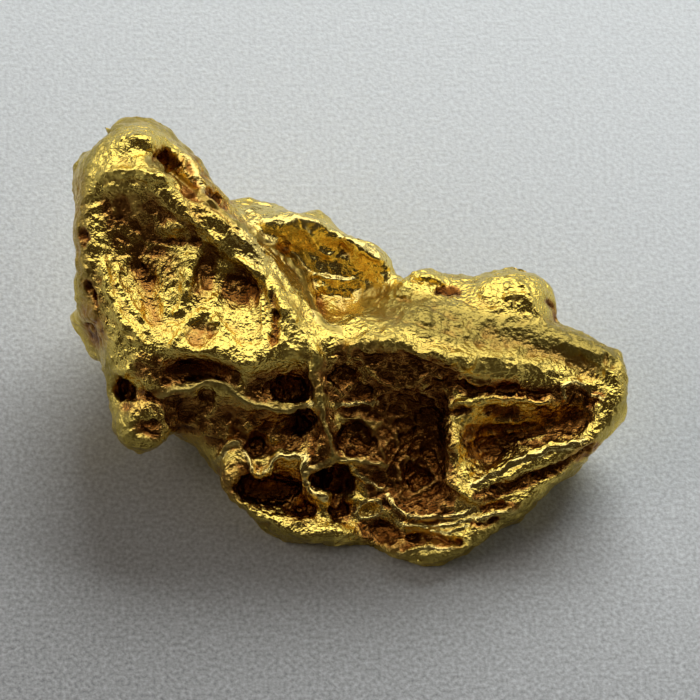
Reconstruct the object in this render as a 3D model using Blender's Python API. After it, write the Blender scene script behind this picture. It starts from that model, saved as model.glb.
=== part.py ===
"""A natural gold nugget, water-worn and folded, built as the single piece of metal that it is.

It is shaped like clay, lying face up, in millimetres: x runs along the nugget, y across it and z out
of its face, with z = 0 at the crest of its long ridges. Lobes are swelled from their outlines, knobs
and bars are added and all is fused. The face is then drawn over the heights of its crests and
hollows. The nugget is leaned back to the way it rests, ridges and hollows are worked into its hidden
sides, its feet are worn flat on the ground, and it is scaled to metres.
"""

import math

import bmesh
import bpy
import numpy as np
from mathutils import Matrix, Vector, noise

LENGTH = 0.014  # the nugget from end to end, in metres
LENGTH_OF_DRAWING = 14.0  # the same length in the lists below, which are in millimetres
LEAN = math.radians(30)  # how far the face leans back from level as the nugget rests
GROUND = -3.45  # height of the ground under the leaned nugget, in mm from the middle of its face

CLAY = 0.16  # size of the grains that the lobes are fused with, in mm
FINE_CLAY = 0.11  # the same for the finished form
TRIANGLES = 9400  # faces of the finished solid
GOLD = (0.83, 0.56, 0.13, 1.0)

LUMP_SIZE = 1.9  # width of the rounded lumps of the hidden sides, in mm
LUMP_HEIGHT = 0.22
CUP_SIZE = 1.0  # width of the shallow cups between them
CUP_DEPTH = 0.1

# Lobes: name, outline in x and y, middle, level of the outline, swell towards the face, swell away
# from it, fullness.
LOBES = [
    (
        "crown lobe",
        [
            (-6.15, 5.4), (-5.8, 5.65), (-5.25, 5.76), (-4.75, 5.5), (-4.3, 5.1), (-3.83, 4.62),
            (-3.35, 3.85),
            (-2.75, 3.3), (-1.88, 2.5), (-1.12, 1.5), (-0.7, 0.62), (-0.6, -0.3), (-0.95, -1.25),
            (-2, -1.3),
            (-3, -1.1), (-4, -0.93), (-4.75, -1.05), (-5.75, -1), (-6.2, -0.6), (-6.22, 0),
            (-6.45, 0.7),
            (-6.65, 1.5), (-6.6, 2.05), (-6.9, 2.5), (-7, 3), (-6.88, 3.55), (-6.85, 4.25), (-6.7, 4.8),
            (-6.42, 5.17),
        ],
        (-4.2, 2.0), -1.7, 1.6, 2.2, 2.6,
    ),
    (
        "nose lobe",
        [
            (-0.7, 0.5), (0, 0.8), (1.25, 1.2), (2.5, 1.3), (3.75, 1.05), (4.88, 0.7), (5.88, 0.38),
            (6.5, 0.1),
            (6.95, -0.25), (7.2, -1), (7, -1.62), (6.4, -2.35), (5.4, -3.15), (4.55, -4.05), (3.75, -4.58),
            (3, -4.92), (2.17, -5.4), (1.62, -5.42), (1.15, -5.08), (0.62, -4.88), (0.12, -4.5),
            (-0.38, -3.75),
            (-0.55, -2.75), (-0.7, -1.75), (-0.8, -0.75),
        ],
        (2.6, -1.9), -1.4, 1.3, 1.15, 2.6,
    ),
    (
        "heel lobe",
        [
            (-3.2, -2.75), (-2.75, -2.55), (-2.2, -2.75), (-1.25, -2.62), (-0.5, -2.7), (0.05, -3.25),
            (0.3, -4),
            (0.05, -4.85), (-0.5, -4.92), (-1.25, -4.88), (-2, -4.53), (-2.62, -4.08), (-3.05, -3.62),
            (-3.33, -3.2),
        ],
        (-1.5, -3.7), -1.1, 0.8, 0.65, 2.6,
    ),
    (
        "step lobe",
        [
            (-4.62, -0.88), (-2.75, -0.5), (-1, -0.5), (0.2, -1.6), (0.2, -3.25), (-2.75, -3.25),
            (-3.38, -3.05),
            (-3.7, -2.58), (-4.15, -2.25), (-4.45, -1.88), (-4.67, -1.38),
        ],
        (-2.4, -1.9), -1.9, 0.85, 0.75, 3.0,
    ),
    (
        "back wall",
        [
            (-3.3, 3.3), (-2.2, 3.55), (-1.25, 3.38), (-0.5, 3.1), (0.05, 2.8), (0.65, 2.62), (1.05, 2.2),
            (1.25, 1.57), (1.3, 0.6), (0, -0.4), (-1.6, -0.2), (-3.3, 1.0), (-3.9, 2.3),
        ],
        (-1.3, 1.7), -2.6, 1.0, 1.5, 3.2,
    ),
]

# Knobs: name, middle, half-sizes along x, y and z.
KNOBS = [
    ("left nub", (-5.18, -1.85, -1.15), (0.8, 0.8, 0.75)),
    ("left nub neck", (-5.2, -1.1, -1.5), (0.98, 0.9, 0.8)),
    ("back nub", (4.12, 1.15, -1.75), (1.02, 0.88, 0.92)),
    ("small back nub", (1.85, 1.55, -1.75), (0.65, 0.5, 0.55)),
    ("back nub saddle", (3.0, 1.1, -2.1), (1.2, 0.8, 0.7)),
    ("left wart", (-6.72, 2.85, -1.9), (0.38, 0.4, 0.4)),
    ("left lower wart", (-6.45, 0.95, -2.5), (0.45, 0.5, 0.5)),
    ("left foot wart", (-6.2, 0.25, -2.6), (0.42, 0.45, 0.5)),
    ("flange", (-4.2, 4.2, -1.9), (0.6, 0.75, 0.8)),
    ("back bulk", (-3.95, 2.1, -3.2), (1.85, 1.6, 2.1)),
    ("back bulk spur", (-1.8, 1.9, -3.5), (1.5, 1.1, 1.1)),
    ("nose bulk", (3.6, -0.7, -2.5), (2.0, 1.3, 1.25)),
    ("nose bulk spur", (1.0, 0.3, -2.7), (1.5, 1.1, 0.9)),
    ("front foot", (-1.0, -3.5, -1.5), (1.0, 0.8, 0.75)),
    ("heel bridge", (0.35, -4.5, -1.35), (0.7, 0.42, 0.4)),
]

# Ridges that stand out as thick bars: name, (x, y, z, radius) along the middle of the bar.
BARS = [
    (
        "long ridge",
        [
            (-5.3, 4.9, -0.65, 0.6), (-4.8, 4.45, -0.45, 0.46), (-3.9, 3.65, -0.4, 0.42),
            (-2.9, 2.75, -0.35, 0.42),
            (-1.9, 1.75, -0.35, 0.42), (-1.2, 0.75, -0.35, 0.42), (-0.95, 0.35, -0.4, 0.4),
        ],
    ),
    (
        "nose ridge",
        [
            (-0.7, 0.35, -0.45, 0.38), (0.3, 0.4, -0.4, 0.42), (1.6, 0.2, -0.35, 0.44),
            (3.0, -0.25, -0.35, 0.45),
            (4.6, -0.65, -0.6, 0.5), (6.0, -0.95, -1.05, 0.62),
        ],
    ),
    (
        "back rim",
        [
            (-2.6, 3.1, -2.0, 0.3), (-1.3, 3.15, -1.8, 0.28), (-0.2, 2.75, -1.8, 0.28),
            (0.75, 2.1, -2.0, 0.3),
        ],
    ),
    ("flange rim", [(-4.7, 5.0, -1.4, 0.4), (-4.02, 4.42, -1.55, 0.42), (-3.3, 3.6, -1.85, 0.4)]),
    (
        "under lip",
        [
            (1.0, -4.9, -0.95, 0.3), (1.7, -5.1, -0.8, 0.3), (2.5, -5.0, -0.8, 0.3),
            (3.3, -4.6, -0.9, 0.3),
        ],
    ),
]

# The part of the nugget that the relief of its face covers.
FACE = [
    (-6.25, 4.75), (-5.95, 5.2), (-5.5, 5.42), (-5, 5.3), (-4.67, 4.75), (-4, 4.1), (-3.33, 3.45),
    (-2.6, 2.88),
    (-1.85, 2.25), (-1.25, 1.65), (-0.95, 1), (-0.78, 0.62), (-0.2, 0.55), (0.5, 0.75), (1.1, 1.15),
    (1.88, 1.3),
    (2.62, 1.1), (3.38, 0.8), (4, 0.6), (4.88, 0.47), (5.75, 0.07), (6.35, -0.25), (6.6, -0.88),
    (6.45, -1.55),
    (6.05, -2.15), (5.5, -2.75), (4.88, -3.3), (4.2, -3.77), (3.5, -4.25), (3, -4.58), (2.5, -4.92),
    (2, -5.2),
    (1.5, -5.2), (1.07, -4.95), (0.62, -4.75), (0, -4.65), (-0.75, -4.6), (-1.45, -4.5), (-2.12, -4.22),
    (-2.6, -3.92), (-2.92, -3.6), (-3.05, -3.2), (-3.3, -2.75), (-3.62, -2.35), (-4, -2), (-4.35, -1.7),
    (-4.7, -1.38), (-5.05, -1.05), (-5.62, -0.95), (-5.95, -0.7), (-6, -0.2), (-6.12, 0.3), (-6.35, 0.88),
    (-6.42, 1.5), (-6.38, 2), (-6.53, 2.5), (-6.65, 3.12), (-6.6, 3.75), (-6.55, 4.25),
]
FACE_EDGE = 0.3  # how far inside that outline the relief is in full force
PLATE_GIVE = 0.0005  # how far the bent plate may pass beside its control points

# Crests and grooves of the face: name, line with its heights, as (x, y, z).
RELIEF_LINES = [
    (
        "crown shoulder",
        [
            (-6.35, 4, -0.75), (-6, 4.15, -0.32), (-5.5, 4.2, -0.14), (-5, 4.05, -0.1), (-4.5, 3.67, -0.18),
        ],
    ),
    (
        "long ridge",
        [
            (-4.2, 3.42, -0.3), (-3.75, 2.9, -0.5), (-3.2, 2.5, -0.6), (-2.65, 2.2, -0.6),
            (-2.25, 1.8, -0.52), (-2, 1.2, -0.34), (-1.65, 0.55, -0.1), (-1.15, 0.2, 0.04),
        ],
    ),
    (
        "crown hollow wall",
        [
            (-6.1, 3.83, -0.75), (-5.5, 3.9, -0.42), (-4.95, 3.75, -0.38), (-4.45, 3.35, -0.42),
        ],
    ),
    ("basin spur", [(-3.77, 2.45, -0.56), (-4, 2, -0.52), (-4.15, 1.5, -0.5), (-4.3, 0.95, -0.48)]),
    ("basin right flank", [(-2.67, 1.95, -0.58), (-2.2, 1.45, -0.46), (-2.15, 0.88, -0.3)]),
    (
        "basin foot",
        [
            (-5, -0.05, -0.25), (-4.5, 0, -0.1), (-3.95, -0.05, 0.02), (-3.38, -0.12, 0.06),
            (-2.95, -0.4, 0.06), (-2.55, -0.55, 0.05), (-2.15, -0.33, 0.06), (-1.7, -0.1, 0.08),
            (-1.25, 0.05, 0.08), (-0.8, 0.2, -0.02),
        ],
    ),
    (
        "left crest",
        [
            (-6.28, 2.3, -0.75), (-6.17, 1.75, -0.6), (-5.95, 1.2, -0.48), (-5.65, 0.62, -0.38),
            (-5.25, 0.12, -0.28),
        ],
    ),
    ("cheek crest", [(-5.72, -0.5, -0.42), (-5.25, -0.57, -0.36), (-4.85, -0.95, -0.42)]),
    (
        "face groove",
        [
            (-4.35, -0.55, -0.6), (-3.7, -0.65, -0.72), (-3.1, -0.75, -0.62), (-2.55, -0.95, -0.42),
            (-2.05, -0.9, -0.55), (-1.5, -0.85, -0.8), (-1.25, -1.1, -0.8),
        ],
    ),
    (
        "face lip",
        [
            (-4.62, -1.15, -0.5), (-4.12, -0.97, -0.4), (-3.5, -0.82, -0.34), (-3.05, -0.95, -0.4),
            (-2.58, -1.23, -0.45), (-2, -1.43, -0.5), (-1.3, -1.5, -0.45), (-0.8, -1.38, -0.3),
        ],
    ),
    (
        "neck web",
        [
            (-0.82, 0.12, -0.12), (-0.85, -0.62, -0.28), (-0.8, -1.3, -0.35), (-0.55, -1.88, -0.45),
            (-0.38, -2.7, -0.55),
        ],
    ),
    (
        "heel crest",
        [
            (-3.17, -2.75, -0.95), (-2.95, -2.45, -0.88), (-2.7, -2.33, -0.95), (-2.62, -2.67, -1),
            (-2.3, -3, -0.85), (-1.75, -2.67, -0.78), (-1.05, -2.65, -0.7),
        ],
    ),
    ("heel right rim", [(-1.1, -3.2, -0.75), (-0.85, -3.55, -0.7), (-0.55, -3.83, -0.7)]),
    (
        "heel rim",
        [
            (-3.08, -3.25, -1.15), (-2.85, -3.75, -1.1), (-2.35, -3.95, -1), (-1.85, -4.08, -0.95),
            (-1.35, -4.33, -0.93), (-0.88, -4.22, -0.93),
        ],
    ),
    ("heel toe", [(-0.5, -4.3, -1), (-0.12, -4.5, -1)]),
    (
        "nose crest",
        [
            (-0.55, 0.35, -0.12), (0.05, 0.4, -0.1), (0.7, 0.57, -0.02), (1.25, 0.53, 0), (2, 0.23, 0),
            (2.75, -0.07, -0.05), (3.3, -0.25, -0.1), (4.25, -0.42, -0.28), (5.2, -0.68, -0.5),
            (5.95, -0.95, -0.78),
        ],
    ),
    (
        "nose back slope",
        [
            (0.88, 1.18, -0.58), (1.7, 1.18, -0.7), (2.5, 0.85, -0.66), (3.75, 0.38, -0.76),
            (5, 0.12, -0.95), (6, -0.3, -1.15),
        ],
    ),
    (
        "trough top",
        [
            (-0.12, -0.25, -0.26), (0.75, -0.25, -0.22), (1.75, -0.53, -0.26), (2.75, -0.72, -0.32),
            (3.75, -0.85, -0.44), (4.88, -1, -0.66),
        ],
    ),
    ("trough edge", [(-0.12, -0.85, -0.52), (0.8, -0.95, -0.5), (1.62, -1.02, -0.52), (2.25, -1.1, -0.58)]),
    ("trough foot", [(1.05, -3.83, -0.92), (1.7, -4.08, -0.85), (2.5, -4.08, -0.8), (3.1, -3.9, -0.7)]),
    ("under lip", [(1.3, -5.15, -1), (2, -5.25, -0.9), (2.6, -5.03, -0.95)]),
    ("mouth upper lip", [(2.7, -1.55, -0.58), (3.25, -1.3, -0.5), (4.25, -1.25, -0.56), (5.2, -1.3, -0.68)]),
    ("mouth side", [(2.62, -1.95, -0.66), (2.58, -2.55, -0.66), (2.65, -3.25, -0.62), (3.2, -3.65, -0.56)]),
    (
        "mouth sill",
        [
            (3.4, -3.5, -0.56), (4.05, -3.17, -0.56), (4.75, -2.88, -0.6), (5.5, -2.5, -0.72),
            (6.2, -2.15, -0.92),
        ],
    ),
    ("sill groove", [(3.67, -3.75, -0.95), (4.3, -3.42, -1.02), (5, -3.08, -1.08), (5.7, -2.65, -1.18)]),
]

# Heights of the face between them: name, places as (x, y, z).
RELIEF_LEVELS = [
    (
        "knob slope",
        [
            (-6.12, 4.95, -0.95), (-5.55, 5.1, -0.72), (-4.95, 4.95, -0.55), (-5.8, 4.6, -0.42),
            (-5.2, 4.55, -0.3), (-4.75, 4.25, -0.22),
        ],
    ),
    (
        "ridge slope",
        [
            (-3.95, 3.55, -0.36), (-3.3, 3.05, -0.62), (-2.55, 2.62, -0.8), (-1.8, 2.05, -0.74),
            (-1.4, 1.45, -0.5), (-1.2, 0.8, -0.26),
        ],
    ),
    (
        "crown hollow",
        [
            (-5.95, 3.42, -0.82), (-5.38, 3.45, -0.6), (-4.8, 3.2, -0.56), (-5.38, 2.85, -0.8),
            (-4.85, 2.62, -0.78), (-4.83, 2.12, -0.82),
        ],
    ),
    ("basin bump", [(-4.3, 3, -0.45), (-4.45, 2.55, -0.7), (-3.88, 2.75, -0.58)]),
    (
        "basin dimples",
        [
            (-3.45, 2.3, -0.68), (-3.5, 1.75, -0.62), (-2.67, 1.55, -0.66), (-2.85, 1.3, -0.58),
            (-2.45, 1.3, -0.54),
        ],
    ),
    (
        "basin floor",
        [
            (-3.35, 1, -0.42), (-2.58, 0.8, -0.36), (-3.75, 0.42, -0.22), (-2.75, 0.17, -0.08),
            (-2.2, 0.3, -0.1),
        ],
    ),
    ("left patch", [(-5.62, 2.35, -0.92), (-5.53, 1.62, -0.76), (-5, 1.25, -0.68), (-4.95, 0.6, -0.42)]),
    ("left cheek", [(-5.85, 0.1, -0.55), (-5.6, -0.25, -0.55), (-6.05, -0.45, -0.85)]),
    (
        "step",
        [
            (-3.62, -1.18, -0.85), (-4.25, -1.5, -1), (-3.75, -1.75, -0.98), (-3.12, -1.8, -0.9),
            (-2.7, -1.5, -0.72), (-3.62, -2.35, -1.3), (-4, -2.05, -1.35), (-3.1, -2.4, -1.1),
            (-2.05, -1.85, -0.95), (-1.35, -1.7, -1.05), (-1.65, -2.25, -1.1), (-2.3, -2.25, -1.2),
        ],
    ),
    (
        "heel hollow",
        [
            (-2.7, -3.3, -1.25), (-2.2, -3.55, -1.4), (-2.2, -3.75, -1.45), (-1.55, -3.45, -1.45),
            (-1.45, -3.88, -1.45), (-1.25, -3.95, -1.35), (-1.5, -3.05, -1.2),
        ],
    ),
    (
        "trough",
        [
            (0, -0.55, -0.42), (1.25, -1.35, -0.95), (2, -1.35, -1.05), (2.35, -2, -1.15),
            (1.25, -1.88, -1.1), (0.05, -2, -0.9), (2.4, -2.8, -1.25), (2.05, -3.5, -1.35),
            (1.35, -3.52, -1.32),
        ],
    ),
    (
        "trough cells",
        [
            (1.7, -3.15, -1.3), (0.25, -2.75, -0.8), (0.82, -2.85, -0.88), (0.72, -2.25, -0.92),
            (-0.1, -1.45, -0.66), (0.55, -3.25, -1.05), (0.38, -3.95, -1.15),
        ],
    ),
    ("under the trough", [(1.25, -4.45, -1.02), (2, -4.58, -1), (2.75, -4.42, -0.95), (0.8, -4.7, -1.15)]),
    (
        "mouth floor",
        [
            (3.2, -2, -0.95), (3.25, -2.83, -1.02), (3.8, -2.45, -1.08), (4.5, -2, -1.08),
            (5.25, -1.75, -1.02), (5.9, -1.7, -1.02),
        ],
    ),
]

# Narrow ridges raised on the face: name, crest line, half-width, height.
RIDGES = [
    ("neck web", [(-0.82, 0.2), (-0.85, -0.62), (-0.8, -1.3), (-0.55, -1.88), (-0.38, -2.7)], 0.2, 0.2),
    ("hole web", [(-0.38, -2.7), (0.25, -2.75), (0.82, -2.85)], 0.16, 0.18),
    ("trough web", [(0.82, -2.85), (0.72, -2.25), (0.38, -1.75), (-0.12, -1.62)], 0.18, 0.15),
    ("basin spur", [(-3.78, 2.45), (-4, 2), (-4.15, 1.5), (-4.3, 0.95)], 0.28, 0.14),
    (
        "basin foot",
        [
            (-4.6, 0.05), (-3.95, 0), (-3.38, -0.1), (-2.95, -0.4), (-2.55, -0.55), (-2.15, -0.3),
        ],
        0.3, 0.1,
    ),
    (
        "face lip",
        [
            (-4.62, -1.15), (-4.12, -0.97), (-3.5, -0.82), (-2.58, -1.23), (-2, -1.43), (-0.85, -1.4),
        ],
        0.2, 0.2,
    ),
    (
        "heel crest",
        [
            (-3.17, -2.75), (-2.7, -2.33), (-2.62, -2.67), (-2.3, -3), (-1.75, -2.67), (-1.05, -2.65),
        ],
        0.18, 0.2,
    ),
    ("heel right rim", [(-1.05, -2.7), (-1.1, -3.2), (-0.85, -3.55), (-0.5, -3.9)], 0.2, 0.2),
    (
        "heel rim",
        [
            (-3.1, -2.9), (-3.08, -3.25), (-2.83, -3.75), (-1.85, -4.03), (-1.35, -4.3), (-0.7, -4.2),
        ],
        0.25, 0.15,
    ),
    ("mouth upper lip", [(2.65, -1.7), (3.25, -1.3), (4.25, -1.25), (5.2, -1.3)], 0.22, 0.15),
    ("mouth side", [(2.65, -1.7), (2.58, -2.55), (2.65, -3.25), (3.3, -3.7)], 0.24, 0.2),
    ("mouth sill", [(3.3, -3.6), (4.05, -3.17), (4.75, -2.88), (5.5, -2.5), (6.2, -2.15)], 0.24, 0.2),
    ("under lip", [(1.0, -4.95), (1.5, -5.15), (2.0, -5.22), (2.6, -5.03), (3.1, -4.7)], 0.22, 0.15),
]

# Hollows pressed into the face: name, outline, depth, width of the sloping wall.
HOLLOWS = [
    (
        "deep hole",
        [
            (-0.95, -3.2), (-0.6, -2.9), (-0.1, -2.9), (0.05, -3.25), (-0.2, -3.7), (-0.6, -3.6),
        ],
        1.1, 0.2,
    ),
    ("left pit", [(-5.9, -0.75), (-5.5, -0.7), (-5.4, -1.1), (-5.8, -1.2)], 0.4, 0.25),
    ("middle dimple", [(-3.45, 2.6), (-3.15, 2.45), (-3.25, 1.6), (-3.65, 1.6), (-3.65, 2.2)], 0.06, 0.25),
    ("right dimple", [(-3.05, 1.85), (-2.5, 2.0), (-2.2, 1.6), (-2.4, 1.25), (-3.0, 1.3)], 0.1, 0.25),
    (
        "mouth hollow",
        [
            (3.0, -2.0), (4.2, -1.85), (5.6, -1.6), (5.9, -1.85), (4.6, -2.5), (3.3, -3.1),
        ],
        0.25, 0.3,
    ),
    (
        "sill groove",
        [
            (3.55, -3.85), (4.3, -3.5), (5, -3.15), (5.75, -2.7), (5.0, -2.98), (4.3, -3.32),
        ],
        0.25, 0.15,
    ),
    ("under slit", [(1.4, -4.68), (2, -4.85), (2.8, -4.75), (2.4, -4.6), (1.7, -4.55)], 0.25, 0.2),
    (
        "back bowl",
        [
            (-1.9, 2.4), (-0.9, 2.9), (-0.1, 2.5), (0.7, 1.8), (0.6, 1.1), (-0.1, 0.8), (-0.8, 0.9),
            (-1.3, 1.7),
        ],
        0.8, 0.6,
    ),
    (
        "flange hole",
        [
            (-4.9, 4.85), (-4.5, 5.0), (-4.3, 4.6), (-3.9, 4.1), (-4.2, 4.0), (-4.6, 4.5),
        ],
        1.0, 0.3,
    ),
]

# Ways of looking at the leaned nugget: the directions that lie to the right, up and towards the eye.
VIEWS = {
    "back": ((-1, 0, 0), (0, 0, 1), (0, 1, 0)),
    "left": ((0, -1, 0), (0, 0, 1), (-1, 0, 0)),
    "right": ((0, 1, 0), (0, 0, 1), (1, 0, 0)),
    "under": ((1, 0, 0), (0, -1, 0), (0, 0, -1)),
}

# Ridges and hollows of the hidden sides: view, name, crest line across and up in it, half-width, height.
SIDE_RIDGES = [
    ("back", "back shoulder", [(6.2, 0.4), (5.0, 0.6), (3.6, -0.3), (2.2, -0.6)], 0.55, 0.35),
    ("back", "back buttress", [(4.6, 0.2), (4.2, -1.2), (4.6, -2.6)], 0.5, 0.3),
    ("back", "bowl buttress", [(1.0, -0.4), (0.6, -1.6), (1.3, -2.7)], 0.5, 0.3),
    ("back", "nose buttress", [(-2.4, -1.2), (-3.6, -2.0), (-5.4, -2.0)], 0.45, 0.25),
    ("left", "left buttress", [(-2.4, 0.6), (-1.8, -0.9), (-2.2, -2.4)], 0.5, 0.3),
]
SIDE_HOLLOWS = [
    ("back", "back dimple", [(3.4, -0.9), (2.2, -1.1), (2.0, -2.1), (2.9, -2.6), (3.7, -1.9)], 0.45, 0.5),
    ("back", "back pit", [(5.4, -0.9), (5.0, -0.8), (4.9, -1.4), (5.4, -1.5)], 0.3, 0.3),
    ("back", "nose dimple", [(-1.0, -1.6), (-2.2, -1.7), (-2.4, -2.5), (-1.2, -2.6)], 0.35, 0.45),
    ("left", "left dimple", [(-3.6, -0.6), (-2.8, -0.3), (-2.9, -1.5), (-3.5, -1.7)], 0.35, 0.45),
    ("right", "nose tip dimple", [(-0.6, -1.6), (0.3, -1.4), (0.4, -2.2), (-0.5, -2.3)], 0.25, 0.4),
    (
        "under",
        "belly",
        [
            (-3.4, 0.2), (0.4, 2.4), (3.6, 1.9), (1.6, -0.2), (-1.2, -2.0), (-2.8, -1.4),
        ],
        0.35, 0.8,
    ),
]


def clear_scene():
    for old in list(bpy.data.objects):
        bpy.data.objects.remove(old, do_unlink=True)


def gold():
    material = bpy.data.materials.new("gold")
    material.use_nodes = True
    shader = material.node_tree.nodes["Principled BSDF"]
    shader.inputs["Base Color"].default_value = GOLD
    shader.inputs["Metallic"].default_value = 1.0
    shader.inputs["Roughness"].default_value = 0.28
    return material


def smooth_line(points, closed=False, per_span=8):
    """Points along a smooth curve through the given ones, as an array with the same columns."""
    knots = np.array(points, float)
    count = len(knots)
    spans = range(count if closed else count - 1)
    made = []
    for i in spans:
        if closed:
            p0, p1, p2, p3 = (knots[(i + k) % count] for k in (-1, 0, 1, 2))
        else:
            p0, p1, p2, p3 = (knots[min(max(i + k, 0), count - 1)] for k in (-1, 0, 1, 2))
        t = np.linspace(0, 1, per_span, endpoint=False)[:, None]
        made.append(
            0.5 * (2 * p1 + (p2 - p0) * t + (2 * p0 - 5 * p1 + 4 * p2 - p3) * t**2
                   + (3 * p1 - p0 - 3 * p2 + p3) * t**3)
        )
    if not closed:
        made.append(knots[-1:])
    return np.concatenate(made)


def fade(value):
    """0 below 0, 1 above 1 and a smooth step between them."""
    t = np.clip(value, 0, 1)
    return t * t * (3 - 2 * t)


def distance_to_line(flat, line, closed=False):
    """Each point's distance to a polyline and how far along it the nearest point lies, from 0 to 1."""
    starts = line[:, :2]
    ends = np.roll(starts, -1, axis=0)
    if not closed:
        starts, ends = starts[:-1], ends[:-1]
    best = np.full(len(flat), 1e9)
    along = np.zeros(len(flat))
    for k, (a, b) in enumerate(zip(starts, ends)):
        span = b - a
        t = np.clip(((flat - a) @ span) / max(span @ span, 1e-12), 0, 1)
        gap = np.linalg.norm(flat - a - t[:, None] * span, axis=1)
        closer = gap < best
        best[closer] = gap[closer]
        along[closer] = (k + t[closer]) / len(starts)
    return best, along


def depth_inside(flat, outline):
    """Distance to a closed outline, positive inside it and negative outside."""
    inside = np.zeros(len(flat), bool)
    ends = np.roll(outline, -1, axis=0)
    for (ax, ay), (bx, by) in zip(outline[:, :2], ends[:, :2]):
        if ay == by:
            continue
        crosses = (ay > flat[:, 1]) != (by > flat[:, 1])
        inside ^= crosses & (flat[:, 0] < (bx - ax) * (flat[:, 1] - ay) / (by - ay) + ax)
    gap, _ = distance_to_line(flat, outline, closed=True)
    return np.where(inside, gap, -gap)


def mesh_object(name, mesh):
    made = bpy.data.objects.new(name, mesh)
    bpy.context.scene.collection.objects.link(made)
    return made


def ball(middle, half_sizes):
    """An ellipsoid, as a mesh."""
    mesh = bpy.data.meshes.new("knob")
    shape = bmesh.new()
    bmesh.ops.create_icosphere(shape, subdivisions=4, radius=1.0)
    bmesh.ops.scale(shape, vec=half_sizes, verts=shape.verts)
    bmesh.ops.translate(shape, vec=middle, verts=shape.verts)
    shape.to_mesh(mesh)
    shape.free()
    return mesh


def lobe(outline, middle, level, swell_up, swell_down, fullness):
    """A sphere whose equator is drawn out to an outline, swelled by so much on either side of it."""
    edge = smooth_line(outline, closed=True) - np.array(middle)
    bearing = np.arctan2(edge[:, 1], edge[:, 0])
    order = np.argsort(bearing)
    bearing, reach = bearing[order], np.linalg.norm(edge, axis=1)[order]
    mesh = bpy.data.meshes.new("lobe")
    shape = bmesh.new()
    bmesh.ops.create_uvsphere(shape, u_segments=128, v_segments=48, radius=1.0)
    for vert in shape.verts:
        x, y, z = vert.co
        share = min(math.hypot(x, y), 1.0)
        turn = math.atan2(y, x)
        far = np.interp(turn, bearing, reach, period=2 * math.pi)
        rise = (1 - share**fullness) ** (1 / fullness)
        vert.co = (
            middle[0] + share * far * math.cos(turn),
            middle[1] + share * far * math.sin(turn),
            level + (swell_up if z > 0 else -swell_down) * rise,
        )
    shape.to_mesh(mesh)
    shape.free()
    return mesh


def bar(points):
    """A rounded bar along a smooth line, as a chain of overlapping balls."""
    line = smooth_line(points, per_span=6)
    return [ball(p[:3], (p[3],) * 3) for p in line]


def fused(meshes, grain):
    """One object of all the meshes, fused into one skin of even grains."""
    shape = bmesh.new()
    for mesh in meshes:
        shape.from_mesh(mesh)
        bpy.data.meshes.remove(mesh)
    whole = bpy.data.meshes.new("nugget")
    shape.to_mesh(whole)
    shape.free()
    clay = mesh_object("nugget", whole)
    regrain(clay, grain)
    return clay


def apply_modifiers(clay):
    graph = bpy.context.evaluated_depsgraph_get()
    old = clay.data
    clay.data = bpy.data.meshes.new_from_object(clay.evaluated_get(graph))
    clay.modifiers.clear()
    bpy.data.meshes.remove(old)


def regrain(clay, grain):
    remesh = clay.modifiers.new("Remesh", "REMESH")
    remesh.mode = "VOXEL"
    remesh.voxel_size = grain
    apply_modifiers(clay)


def relax(clay, rounds, factor=0.5):
    smooth = clay.modifiers.new("Smooth", "SMOOTH")
    smooth.factor = factor
    smooth.iterations = rounds
    apply_modifiers(clay)


def read_points(clay):
    points = np.empty(len(clay.data.vertices) * 3, np.float32)
    clay.data.vertices.foreach_get("co", points)
    normals = np.empty(len(points), np.float32)
    clay.data.vertex_normals.foreach_get("vector", normals)
    return points.reshape(-1, 3).astype(float), normals.reshape(-1, 3).astype(float)


def write_points(clay, points):
    clay.data.vertices.foreach_set("co", points.astype(np.float32).ravel())
    clay.data.update()


def facing(normals):
    """1 where the skin faces along z, falling to 0 where it faces sideways."""
    return fade(normals[:, 2] / 0.35)


def bend_through(controls, flat):
    """Heights at flat places of a thin plate that is bent through the control points."""

    def spread(a, b):
        square = ((a[:, None, :] - b[None, :, :]) ** 2).sum(axis=2)
        return 0.5 * square * np.log(square + 1e-9)

    places, heights = controls[:, :2], controls[:, 2]
    count = len(controls)
    plane = np.hstack([np.ones((count, 1)), places])
    system = np.zeros((count + 3, count + 3))
    system[:count, :count] = spread(places, places) + PLATE_GIVE * np.eye(count)
    system[:count, count:] = plane
    system[count:, :count] = plane.T
    weights = np.linalg.solve(system, np.concatenate([heights, np.zeros(3)]))
    return spread(flat, places) @ weights[:count] + weights[count] + flat @ weights[count + 1:]


def draw_relief(points, normals, outline, lines, levels, soft):
    """Draws the face over its lines and levels, running out at the outline into the skin that is there."""
    upper = np.where(normals[:, 2] > 0.1)[0]
    border = smooth_line(outline, closed=True, per_span=2)
    nearest = [upper[((points[upper, :2] - spot) ** 2).sum(axis=1).argmin()] for spot in border]
    drawn = [smooth_line(line, per_span=2) for _, line in lines]
    placed = [np.array(places, float) for _, places in levels]
    controls = np.concatenate([points[nearest]] + drawn + placed)
    share = fade(depth_inside(points[:, :2], border) / soft) * facing(normals)
    work = np.where(share > 0)[0]
    heights = bend_through(controls, points[work, :2])
    points[work, 2] += (heights - points[work, 2]) * share[work]


def raise_ridge(points, normals, line, half_width, height):
    gap, along = distance_to_line(points[:, :2], smooth_line(line))
    ends = fade(along / 0.15) * fade((1 - along) / 0.15)
    points[:, 2] += height * fade(1 - gap / half_width) * (0.3 + 0.7 * ends) * facing(normals)


def press_hollow(points, normals, outline, depth, wall):
    edge = smooth_line(outline, closed=True)
    share = fade(depth_inside(points[:, :2], edge) / wall * 0.5 + 0.5)
    points[:, 2] -= depth * share * facing(normals)


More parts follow.
